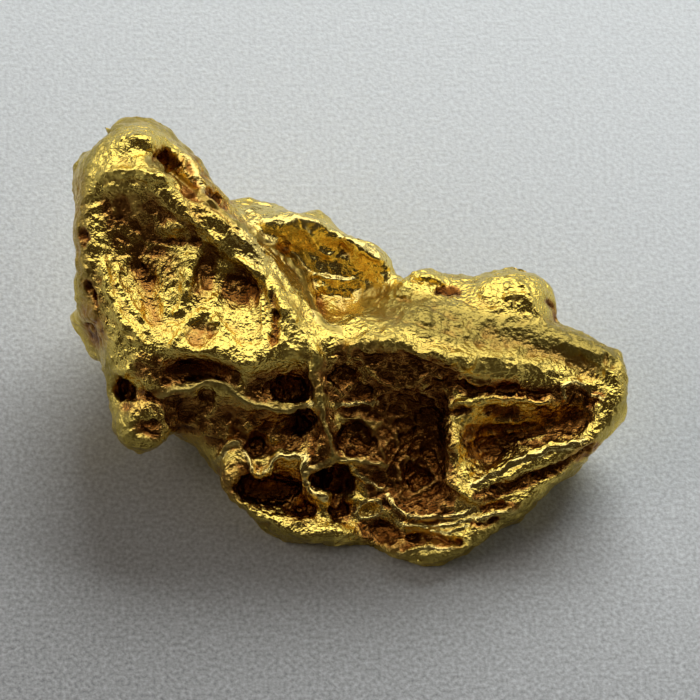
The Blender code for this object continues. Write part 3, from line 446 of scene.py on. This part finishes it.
class StageSizes(bpy.types.PropertyGroup):
    paper_side: FloatProperty(
        name="Paper side", description="Side of the sheet of paper", default=1.0, unit="LENGTH",
    )
    paper: FloatVectorProperty(
        name="Paper", description="Colour of the paper", subtype="COLOR", default=(0.71, 0.77, 0.8),
    )
    shaded_paper: FloatVectorProperty(
        name="Shaded paper", description="Colour of the paper in front, where it lies in shade",
        subtype="COLOR", default=(0.175, 0.17, 0.172),
    )
    shade_start: FloatProperty(
        name="Shade start", description="How far behind the nugget the paper starts to darken", default=0.014,
        unit="LENGTH", precision=4,
    )
    shade_end: FloatProperty(
        name="Shade end", description="How far in front of the nugget the shade is full", default=0.034,
        unit="LENGTH", precision=4,
    )
    camera_elevation: FloatProperty(
        name="Camera elevation", description="Height of the camera over the horizon", default=math.radians(60),
        unit="ROTATION",
    )
    camera_distance: FloatProperty(
        name="Camera distance", description="From the middle of the face to the camera", default=0.16,
        unit="LENGTH",
    )
    picture_width: FloatProperty(
        name="Picture width", description="How much of the face's plane the picture takes in", default=0.0175,
        unit="LENGTH", precision=5,
    )
    picture_depth: FloatProperty(
        name="Picture depth", description="How far that plane lies behind the middle of the face",
        default=0.0012, unit="LENGTH", precision=5,
    )
    window_power: FloatProperty(name="Window", description="Power of the window behind", default=0.27)
    low_window_power: FloatProperty(
        name="Low window", description="Power of the part of the window that lights the paper", default=0.53,
    )
    glow_power: FloatProperty(
        name="Warm glow", description="Power of the light that softens the shadow on the paper", default=0.6,
    )
    left_power: FloatProperty(name="Left light", description="Power of the light on the left", default=0.2)
    right_power: FloatProperty(name="Right light", description="Power of the light on the right", default=0.17)


def fade(value):
    """0 below 0, 1 above 1 and a smooth step between them."""
    t = np.clip(value, 0, 1)
    return t * t * (3 - 2 * t)


def smooth_line(points, per_span=6):
    """Points along a smooth curve through the given ones."""
    knots = np.array(points, float)
    last = len(knots) - 1
    made = []
    for i in range(last):
        p0, p1, p2, p3 = (knots[min(max(i + k, 0), last)] for k in (-1, 0, 1, 2))
        t = np.linspace(0, 1, per_span, endpoint=False)[:, None]
        made.append(
            0.5 * (2 * p1 + (p2 - p0) * t + (2 * p0 - 5 * p1 + 4 * p2 - p3) * t**2
                   + (3 * p1 - p0 - 3 * p2 + p3) * t**3)
        )
    made.append(knots[-1:])
    return np.concatenate(made)


def on_drawing(points):
    """Places in mm as places on the squared drawing."""
    return points[:, :2] * (1, -1) / SQUARE + DRAWING_MIDDLE


def distance_to_line(places, line):
    """Each place's distance to a line, and how far along the line its nearest point lies, from 0 to 1."""
    best = np.full(len(places), 1e9)
    along = np.zeros(len(places))
    for k, (a, b) in enumerate(zip(line[:-1], line[1:])):
        span = b - a
        t = np.clip(((places - a) @ span) / max(span @ span, 1e-12), 0, 1)
        gap = np.linalg.norm(places - a - t[:, None] * span, axis=1)
        closer = gap < best
        best[closer] = gap[closer]
        along[closer] = (k + t[closer]) / (len(line) - 1)
    return best, along


def read_points(skin):
    points = np.empty(len(skin.data.vertices) * 3, np.float32)
    skin.data.vertices.foreach_get("co", points)
    normals = np.empty(len(points), np.float32)
    skin.data.vertex_normals.foreach_get("vector", normals)
    return points.reshape(-1, 3).astype(float), normals.reshape(-1, 3).astype(float)


def write_points(skin, points):
    skin.data.vertices.foreach_set("co", points.astype(np.float32).ravel())
    skin.data.update()


def only(thing):
    """Selects one object and nothing else."""
    bpy.ops.object.select_all(action="DESELECT")
    thing.select_set(True)
    bpy.context.view_layer.objects.active = thing


def finish_modifier(skin, kind, **settings):
    """Adds a modifier to the skin and applies it."""
    only(skin)
    modifier = skin.modifiers.new(kind.title(), kind)
    for name, value in settings.items():
        setattr(modifier, name, value)
    bpy.ops.object.modifier_apply(modifier=modifier.name)


def regrain(skin, grain):
    finish_modifier(skin, "REMESH", mode="VOXEL", voxel_size=grain)


def relax(skin, rounds, factor=0.5):
    finish_modifier(skin, "SMOOTH", factor=factor, iterations=rounds)


def copy_of_solid(node):
    """A copy of the solid with its loose triangles merged."""
    only(node)
    bpy.ops.object.duplicate()
    skin = bpy.context.object
    skin.name = "nugget_skin"
    skin.data.name = "nugget_skin"
    bpy.ops.object.mode_set(mode="EDIT")
    bpy.ops.mesh.select_all(action="SELECT")
    bpy.ops.mesh.remove_doubles(threshold=1e-7)
    bpy.ops.object.mode_set(mode="OBJECT")
    return skin


def face_up():
    """Takes the resting nugget in metres to the face-up nugget in mm."""
    return Matrix.Rotation(-LEAN, 4, "X") @ Matrix.Translation(-FACE_MIDDLE) @ Matrix.Scale(1 / MM, 4)


def face_share(normals):
    """1 on the face, falling to 0 towards the hidden sides."""
    return fade((normals[:, 2] - FACE_START) / FACE_RANGE)


def hidden_share(normals):
    """1 on the hidden sides, falling to 0 on the face."""
    return fade((HIDDEN_START - normals[:, 2]) / HIDDEN_RANGE)


def bent_places(points, seen):
    """Where points lie on the drawing, with the seen ones shifted about a little.

    The second result is where the seen ones lay before the shift.
    """
    places = on_drawing(points)
    flat = np.column_stack([places[seen], np.zeros(len(seen))])
    for size, amount in WANDER:
        for axis in (0, 1):
            places[seen, axis] += amount * sampled(flat + 77.7 * (axis + 1), size, noise.noise)
    return places, flat


def near_line(places, seen, line, half_width):
    """The seen places near a line: which they are, their distances and how far along it they lie."""
    curve = smooth_line(line)
    low, high = curve.min(axis=0) - half_width, curve.max(axis=0) + half_width
    near = seen[((places[seen] > low) & (places[seen] < high)).all(axis=1)]
    gap, along = distance_to_line(places[near], curve)
    return near, gap, along


def marks(points, normals, lines):
    """How strongly each point is marked by such lines, from 0 to 1."""
    facing = face_share(normals)
    seen = np.where(facing > 0)[0]
    places, _ = bent_places(points, seen)
    plain = np.ones(len(points))
    for _, half_width, strength, line in lines:
        near, gap, _ = near_line(places, seen, line, half_width)
        plain[near] *= 1 - strength * fade((1 - gap / half_width) * 1.6) * facing[near]
    return 1 - plain


def crest_lines():
    """The narrow ridges of the face, which are clean and even."""
    narrow = [stroke for stroke in STROKES if stroke[1] < 7 and stroke[2] >= 4]
    return [(name, half_width, CREST_STRENGTH, line) for name, half_width, _, line in narrow]


def draw_strokes(skin, relief):
    """Raises the ridges and lumps of the face and sinks its grooves and pits, each along the skin's normals."""
    points, normals = read_points(skin)
    facing = face_share(normals)
    seen = np.where(facing > 0)[0]
    places, flat = bent_places(points, seen)
    rise = np.zeros(len(points))
    for _, half_width, height, line in STROKES:
        near, gap, along = near_line(places, seen, line, half_width)
        ends = 1.0 if line[0] == line[-1] else fade(along / STROKE_END) * fade((1 - along) / STROKE_END)
        rise[near] += height * fade(1 - gap / half_width) * (0.2 + 0.8 * ends)
    for _, middle, half_sizes, height, wall in SPOTS:
        reach = np.array(half_sizes)
        away = np.linalg.norm((places - middle) / reach, axis=1)
        inside = (1 - away) * reach.min()
        rise += height * fade(inside / wall * 0.5 + 0.5) * (away < 3)
    rise[seen] *= 1 + UNEVEN_SHARE * sampled(flat + 300.3, UNEVEN_LENGTH, noise.noise)
    push = rise * facing * SQUARE * relief
    way = NORMAL_SHARE * normals + (0, 0, OUT_SHARE)
    write_points(skin, points + way * push[:, None])


def sampled(points, size, kind):
    """Blender's own noise at the points, with features of that size."""
    return np.array([kind(Vector(p)) for p in points / size])


def warped(points, size, amount):
    """The points, carried about by a slow noise, so that what is sampled there runs in bends."""
    shift = np.stack([sampled(points + offset, size, noise.noise) for offset in (0.0, 31.7, 57.3)], axis=1)
    return points + amount * shift


def web(place):
    """1 along the borders between cells, falling to 0 inside them."""
    near = noise.voronoi(place)[0]
    return 1 - min((near[1] - near[0]) / 0.35, 1)


def pit(place):
    """1 in the middle of a few of the cells, 0 elsewhere."""
    spots = noise.voronoi(place)
    chosen = noise.cell(spots[1][0] * 3.0) > 0.1
    return max(1 - spots[0][0] / 0.38, 0) if chosen else 0.0


def facet(place):
    """Cups with sharp borders, like a hammered or crumpled skin."""
    return noise.voronoi(place)[0][0]


def ridged(place):
    return noise.ridged_multi_fractal(place, 0.9, 2.0, 3, 1.0, 2.0)


def wear_skin(skin, sizes):
    """Webs and pits on the hidden sides, and small folds all over."""
    points, normals = read_points(skin)
    hidden = hidden_share(normals)
    bent = warped(points, 1.4, 0.45)
    rise = np.zeros(len(points))
    work = np.where(hidden > 0)[0]
    size = sizes.web_size / MM
    rise[work] += sizes.web_height / MM * (fade(sampled(bent[work], size, web)) - 0.3) * hidden[work]
    size = sizes.pit_size / MM
    rise[work] -= sizes.pit_depth / MM * fade(sampled(bent[work] + 9.1, size, pit)) * hidden[work]
    # Where stain and painted shade are drawn, the skin gets small cells.
    stain_and_shade_marks = marks(points, normals, STAINS_AND_PAINTED_SHADE)
    work = np.where(stain_and_shade_marks > 0.05)[0]
    size = sizes.cell_size / MM
    cells = fade(sampled(warped(points[work], 0.6, 0.25), size, web)) - 0.4
    rise[work] += sizes.cell_height / MM * cells * stain_and_shade_marks[work]
    size = sizes.crinkle_size / MM
    bent = warped(points, 0.5, 0.18)
    folds = sampled(bent, size * 2, ridged)
    even = 1 - CREST_EVEN * marks(points, normals, crest_lines())
    rise += sizes.crinkle_height / MM * (folds - folds.mean()) * even
    facets = sampled(bent + 4.4, size * 1.2, facet)
    rise += sizes.facet_height / MM * (facets - facets.mean()) * even
    write_points(skin, points + normals * rise[:, None])


def neighbour_mean(edges, count, values, rounds):
    """The values, evened out along the edges so many times."""
    share = np.bincount(edges.ravel(), minlength=count)[:, None]
    for _ in range(rounds):
        total = np.empty_like(values)
        for axis in range(values.shape[1]):
            total[:, axis] = np.bincount(edges[:, 0], values[edges[:, 1], axis], count)
            total[:, axis] += np.bincount(edges[:, 1], values[edges[:, 0], axis], count)
        values = 0.5 * values + 0.5 * total / np.maximum(share, 1)
    return values


def mark_stains_and_shade(skin):
    """Stores how dark each point is stained and painted with shade, how clean a crest or place of painted light it
    is on, and how dull it is.

    A point is darkened where a mark of stain and painted shade is drawn, and it gets painted shade where it lies
    low.
    """
    points, normals = read_points(skin)
    edges = np.empty(len(skin.data.edges) * 2, np.int32)
    skin.data.edges.foreach_get("vertices", edges)
    edges = edges.reshape(-1, 2)
    close = neighbour_mean(edges, len(points), points, CLOSE_ROUNDS)
    wide = neighbour_mean(edges, len(points), close, WIDE_ROUNDS)
    pitted = np.clip(((close - points) * normals).sum(axis=1) / PIT_DEPTH, -1, 1)
    sunk = np.clip(((wide - points) * normals).sum(axis=1) / HOLLOW_DEPTH, 0, 1)
    hidden = hidden_share(normals)
    # Rubbed crests, and the places where light is painted on.
    crests_and_painted_light = marks(points, normals, crest_lines() + PAINTED_LIGHT)
    # Drawn marks, pits and low hollows are darkened: partly stain, partly painted shade.
    stain_and_shade_marks = marks(points, normals, STAINS_AND_PAINTED_SHADE) * (0.8 + 0.4 * pitted)
    stain_and_shade_marks = stain_and_shade_marks + PIT_STAIN_AND_SHADE * np.maximum(pitted, 0) + (HOLLOW_STAIN_AND_SHADE + HIDDEN_HOLLOW_STAIN_AND_SHADE * hidden) * sunk
    stain_and_shade_marks = stain_and_shade_marks * (1 - CREST_CLEAN * crests_and_painted_light)
    dulled = marks(points, normals, DULL)
    for name, values in (("stain", stain_and_shade_marks), ("crest", crests_and_painted_light), ("dull", dulled)):
        layer = skin.data.attributes.new(name, "FLOAT", "POINT")
        layer.data.foreach_set("value", np.clip(values, 0, 1).astype(np.float32))


def pull_thorn(skin):
    """Draws the skin out into a tiny thorn at the edge of the crown."""
    points, _ = read_points(skin)
    place = (np.array(THORN_PLACE) - DRAWING_MIDDLE) * (SQUARE, -SQUARE)
    way = np.array(THORN_WAY)
    across = np.array((way[1], -way[0]))
    near = np.where(np.abs((points[:, :2] - place) @ across) < THORN_WIDTH)[0]
    tip = points[near[np.argmax(points[near, :2] @ way)]]
    pull = THORN_LENGTH * np.clip(1 - np.linalg.norm(points - tip, axis=1) / THORN_FOOT, 0, 1)
    points[:, :2] += pull[:, None] * way
    write_points(skin, points)


def stand_on_ground(skin):
    points, _ = read_points(skin)
    points[:, 2] = np.maximum(points[:, 2], 0)
    write_points(skin, points)


def node(tree, kind, **inputs):
    """A new node, with the named inputs set or linked. An underscore in a name stands for a space."""
    made = tree.nodes.new(kind)
    for name, value in inputs.items():
        socket = made.inputs[name.replace("_", " ")]
        if isinstance(value, bpy.types.NodeSocket):
            tree.links.new(value, socket)
        else:
            socket.default_value = value
    return made


def mixed_colour(tree, share, first, second):
    """The output of a node that mixes two colours, each a value or another node's output."""
    made = tree.nodes.new("ShaderNodeMix")
    made.data_type = "RGBA"
    tree.links.new(share, made.inputs["Factor"])
    for number, colour in ((6, first), (7, second)):
        if isinstance(colour, bpy.types.NodeSocket):
            tree.links.new(colour, made.inputs[number])
        else:
            made.inputs[number].default_value = (*colour, 1)
    return made.outputs[2]


def grain_group():
    """A node group that gives the height of fine folds: bent ridges with finer grain in them."""
    group = bpy.data.node_groups.new("fine folds", "ShaderNodeTree")
    group.interface.new_socket("Place", in_out="INPUT", socket_type="NodeSocketVector")
    for name, default in (("Folds per metre", 9000.0), ("Bend", 0.35), ("Grain share", 0.3)):
        made = group.interface.new_socket(name, in_out="INPUT", socket_type="NodeSocketFloat")
        made.default_value = default
    group.interface.new_socket("Height", in_out="OUTPUT", socket_type="NodeSocketFloat")
    group.interface.new_socket("Blotch", in_out="OUTPUT", socket_type="NodeSocketFloat")
    start = group.nodes.new("NodeGroupInput")
    end = group.nodes.new("NodeGroupOutput")
    link = group.links.new
    scaled = group.nodes.new("ShaderNodeVectorMath")
    scaled.operation = "SCALE"
    link(start.outputs["Place"], scaled.inputs[0])
    link(start.outputs["Folds per metre"], scaled.inputs["Scale"])
    ridges = node(group, "ShaderNodeTexNoise", Vector=scaled.outputs[0], Scale=0.5, Detail=3.0, Roughness=0.6)
    link(start.outputs["Bend"], ridges.inputs["Distortion"])
    ridges.noise_type = "RIDGED_MULTIFRACTAL"
    grain = node(group, "ShaderNodeTexNoise", Vector=scaled.outputs[0], Scale=2.2, Detail=2.0, Roughness=0.5)
    mixed = group.nodes.new("ShaderNodeMix")
    link(start.outputs["Grain share"], mixed.inputs["Factor"])
    link(ridges.outputs[0], mixed.inputs["A"])
    link(grain.outputs[0], mixed.inputs["B"])
    blotch = node(group, "ShaderNodeTexNoise", Vector=scaled.outputs[0], Scale=0.12, Detail=2.0, Roughness=0.5)
    link(mixed.outputs[0], end.inputs["Height"])
    link(blotch.outputs[0], end.inputs["Blotch"])
    return group


def folds_node(tree, group, bend, share):
    """A node that gives the fine folds at the object's own coordinates."""
    place = tree.nodes.new("ShaderNodeTexCoord")
    made = tree.nodes.new("ShaderNodeGroup")
    made.node_tree = group
    tree.links.new(place.outputs["Object"], made.inputs["Place"])
    made.inputs["Folds per metre"].default_value = FOLDS_PER_METRE
    made.inputs["Bend"].default_value = bend
    made.inputs["Grain share"].default_value = share
    return made


def attribute_node(tree, name):
    made = tree.nodes.new("ShaderNodeAttribute")
    made.attribute_name = name
    return made


def gold_material(finish, group):
    """Worn native gold: brown and dark where it is stained and where shade is painted on, paler on its rubbed
    crests and where light is painted on, with fine folds all over.
    """
    material = bpy.data.materials.new("worn native gold")
    material.use_nodes = True
    tree = material.node_tree
    shader = tree.nodes["Principled BSDF"]
    folds = folds_node(tree, group, GOLD_BEND, GOLD_GRAIN_SHARE)
    stain, crest, dull = (attribute_node(tree, name) for name in ("stain", "crest", "dull"))
    # The crest mark gives rubbed crests and the painted light of the bowl the paler colour.
    rubbed_and_painted_light = mixed_colour(tree, crest.outputs["Fac"], finish.gold, finish.rubbed_and_painted_light_gold)
    dulled = mixed_colour(tree, dull.outputs["Fac"], rubbed_and_painted_light, finish.dull_gold)
    # The stain mark darkens the metal, as stain and as painted shade.
    half = node(tree, "ShaderNodeMapRange", Value=stain.outputs["Fac"], From_Max=RUSTY_FULL)
    full = node(tree, "ShaderNodeMapRange", Value=stain.outputs["Fac"], From_Min=STAIN_AND_SHADE_START)
    rusty = mixed_colour(tree, half.outputs[0], dulled, finish.rusty_gold)
    tint = mixed_colour(tree, full.outputs[0], rusty, finish.stained_and_shaded_gold)
    tree.links.new(tint, shader.inputs["Base Color"])
    rough = node(tree, "ShaderNodeMapRange", Value=folds.outputs["Blotch"], From_Min=0.3, From_Max=0.7)
    rough.inputs["To Min"].default_value = finish.roughness - ROUGHNESS_BELOW
    rough.inputs["To Max"].default_value = finish.roughness + ROUGHNESS_ABOVE
    rougher = node(tree, "ShaderNodeMath")
    rougher.operation = "MULTIPLY_ADD"
    tree.links.new(dull.outputs["Fac"], rougher.inputs[0])
    rougher.inputs[1].default_value = DULL_ROUGHNESS
    tree.links.new(rough.outputs[0], rougher.inputs[2])
    tree.links.new(rougher.outputs[0], shader.inputs["Roughness"])
    share = node(tree, "ShaderNodeMapRange", Value=crest.outputs["Fac"])
    share.inputs["To Min"].default_value = 1.0
    share.inputs["To Max"].default_value = CREST_FOLDS
    height = node(tree, "ShaderNodeMath")
    height.operation = "MULTIPLY"
    tree.links.new(folds.outputs["Height"], height.inputs[0])
    tree.links.new(share.outputs[0], height.inputs[1])
    bump = node(tree, "ShaderNodeBump", Height=height.outputs[0], Strength=1.0, Distance=finish.fold_height)
    tree.links.new(bump.outputs[0], shader.inputs["Normal"])
    shader.inputs["Metallic"].default_value = 1.0
    return material


def paper_material(sizes, group):
    """Pale matt paper with a faint grain, darkened towards the front by painted shade, where its grain shows more.
    """
    material = bpy.data.materials.new("pale paper")
    material.use_nodes = True
    tree = material.node_tree
    shader = tree.nodes["Principled BSDF"]
    shader.inputs["Roughness"].default_value = PAPER_ROUGHNESS
    folds = folds_node(tree, group, PAPER_BEND, PAPER_GRAIN_SHARE)
    place = tree.nodes.new("ShaderNodeTexCoord")
    behind = tree.nodes.new("ShaderNodeVectorMath")
    behind.operation = "DOT_PRODUCT"
    tree.links.new(place.outputs["Object"], behind.inputs[0])
    behind.inputs[1].default_value = SHADE_DIRECTION
    lit = node(tree, "ShaderNodeMapRange", Value=behind.outputs["Value"])
    lit.interpolation_type = "SMOOTHSTEP"
    lit.inputs["From Min"].default_value = -sizes.shade_end
    lit.inputs["From Max"].default_value = sizes.shade_start
    # Painted shade: the paper's colour darkens towards the front.
    shade = mixed_colour(tree, lit.outputs[0], sizes.shaded_paper, sizes.paper)
    contrast = node(tree, "ShaderNodeMapRange", Value=lit.outputs[0])
    contrast.inputs["To Min"].default_value = SHADED_GRAIN
    contrast.inputs["To Max"].default_value = LIT_GRAIN
    around = node(tree, "ShaderNodeMath")
    around.operation = "SUBTRACT"
    tree.links.new(folds.outputs["Height"], around.inputs[0])
    around.inputs[1].default_value = 0.5
    grain = node(tree, "ShaderNodeMath")
    grain.operation = "MULTIPLY_ADD"
    tree.links.new(around.outputs[0], grain.inputs[0])
    tree.links.new(contrast.outputs[0], grain.inputs[1])
    grain.inputs[2].default_value = 1.0
    grained = tree.nodes.new("ShaderNodeVectorMath")
    grained.operation = "SCALE"
    tree.links.new(shade, grained.inputs[0])
    tree.links.new(grain.outputs[0], grained.inputs["Scale"])
    tree.links.new(grained.outputs[0], shader.inputs["Base Color"])
    bump = node(
        tree, "ShaderNodeBump",
        Height=folds.outputs["Height"], Strength=PAPER_GRAIN_STRENGTH, Distance=PAPER_GRAIN_HEIGHT,
    )
    tree.links.new(bump.outputs[0], shader.inputs["Normal"])
    return material


def fine_folds():
    """The shared group, made once."""
    return bpy.data.node_groups.get("fine folds") or grain_group()


class NUGGET_OT_skin(bpy.types.Operator):
    """Work the folded skin of the nugget over its solid"""

    bl_idname = "nugget.skin"
    bl_label = "Nugget skin"
    bl_options = {"REGISTER", "UNDO"}

    def execute(self, context):
        sizes = context.scene.nugget_sizes
        skin = copy_of_solid(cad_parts["gold_nugget"])
        skin.data.transform(face_up())
        regrain(skin, sizes.coarse_grain / MM)
        relax(skin, 3)
        regrain(skin, sizes.grain / MM)
        relax(skin, 2)
        draw_strokes(skin, sizes.relief)
        regrain(skin, sizes.grain / MM)
        wear_skin(skin, sizes)
        pull_thorn(skin)
        finish_modifier(skin, "DECIMATE", ratio=sizes.triangles / (2 * len(skin.data.polygons)))
        mark_stains_and_shade(skin)
        skin.data.transform(face_up().inverted())
        stand_on_ground(skin)
        skin.data.materials.clear()
        skin.data.materials.append(gold_material(context.scene.nugget_finish, fine_folds()))
        skin.data.shade_smooth()
        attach(skin, "root")
        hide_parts("gold_nugget")
        return {"FINISHED"}


def aim(thing, place, target):
    """Puts a camera or a light at a place, looking at a target."""
    thing.location = place
    thing.rotation_euler = (Vector(target) - Vector(place)).to_track_quat("-Z", "Y").to_euler()


def soft_light(name, place, width, height, power, colour, seen_by):
    """A soft area light for the metal, the paper or both."""
    bpy.ops.object.select_all(action="DESELECT")
    bpy.ops.object.light_add(type="AREA")
    light = bpy.context.object
    light.name = name
    light.data.shape = "RECTANGLE"
    light.data.size = width
    light.data.size_y = height
    light.data.energy = power
    light.data.color = colour
    light.visible_camera = False
    light.visible_glossy = "metal" in seen_by
    light.visible_diffuse = "paper" in seen_by
    aim(light, place, (0, 0, 0))


class NUGGET_OT_stage(bpy.types.Operator):
    """Lay the nugget on paper under a soft window light, and place the camera"""

    bl_idname = "nugget.stage"
    bl_label = "Stage"
    bl_options = {"REGISTER", "UNDO"}

    def execute(self, context):
        sizes = context.scene.stage_sizes
        bpy.ops.object.select_all(action="DESELECT")
        bpy.ops.mesh.primitive_plane_add(size=sizes.paper_side)
        paper = context.object
        paper.name = "paper"
        paper.data.materials.append(paper_material(sizes, fine_folds()))
        for name, place, width, height, power, colour, seen_by in LIGHTS:
            soft_light(name, place, width, height, getattr(sizes, power), colour, seen_by)
        world = bpy.data.worlds.new("dim room")
        world.use_nodes = True
        background = world.node_tree.nodes["Background"]
        background.inputs["Color"].default_value = ROOM_COLOUR
        background.inputs["Strength"].default_value = ROOM_STRENGTH
        context.scene.world = world
        bpy.ops.object.select_all(action="DESELECT")
        bpy.ops.object.camera_add()
        camera = context.object
        camera.name = "camera"
        middle = FACE_MIDDLE * MM
        rise = sizes.camera_elevation
        aim(camera, middle + sizes.camera_distance * Vector((0, -math.cos(rise), math.sin(rise))), middle)
        camera.data.sensor_width = FILM_WIDTH
        camera.data.lens = FILM_WIDTH * (sizes.camera_distance + sizes.picture_depth) / sizes.picture_width
        camera.data.clip_start = 0.001
        context.scene.camera = camera
        context.scene.view_settings.view_transform = "Standard"
        return {"FINISHED"}


class NUGGET_PT_panel(bpy.types.Panel):
    """Lists the nugget's operators"""

    bl_idname = "NUGGET_PT_panel"
    bl_label = "Gold nugget"
    bl_space_type = "VIEW_3D"
    bl_region_type = "UI"
    bl_category = "Nugget"

    def draw(self, context):
        for operator in (NUGGET_OT_skin, NUGGET_OT_stage):
            self.layout.operator(operator.bl_idname)
        for group in (context.scene.nugget_sizes, context.scene.nugget_finish, context.scene.stage_sizes):
            for name in group.__annotations__:
                self.layout.prop(group, name)


CLASSES = (NuggetSizes, NuggetFinish, StageSizes, NUGGET_OT_skin, NUGGET_OT_stage, NUGGET_PT_panel)


def register():
    for made in CLASSES:
        bpy.utils.register_class(made)
    bpy.types.Scene.nugget_sizes = PointerProperty(type=NuggetSizes)
    bpy.types.Scene.nugget_finish = PointerProperty(type=NuggetFinish)
    bpy.types.Scene.stage_sizes = PointerProperty(type=StageSizes)


def unregister():
    del bpy.types.Scene.stage_sizes
    del bpy.types.Scene.nugget_finish
    del bpy.types.Scene.nugget_sizes
    for made in reversed(CLASSES):
        bpy.utils.unregister_class(made)


def main():
    register()
    bpy.ops.nugget.skin()
    bpy.ops.nugget.stage()


if __name__ == "__main__":
    main()
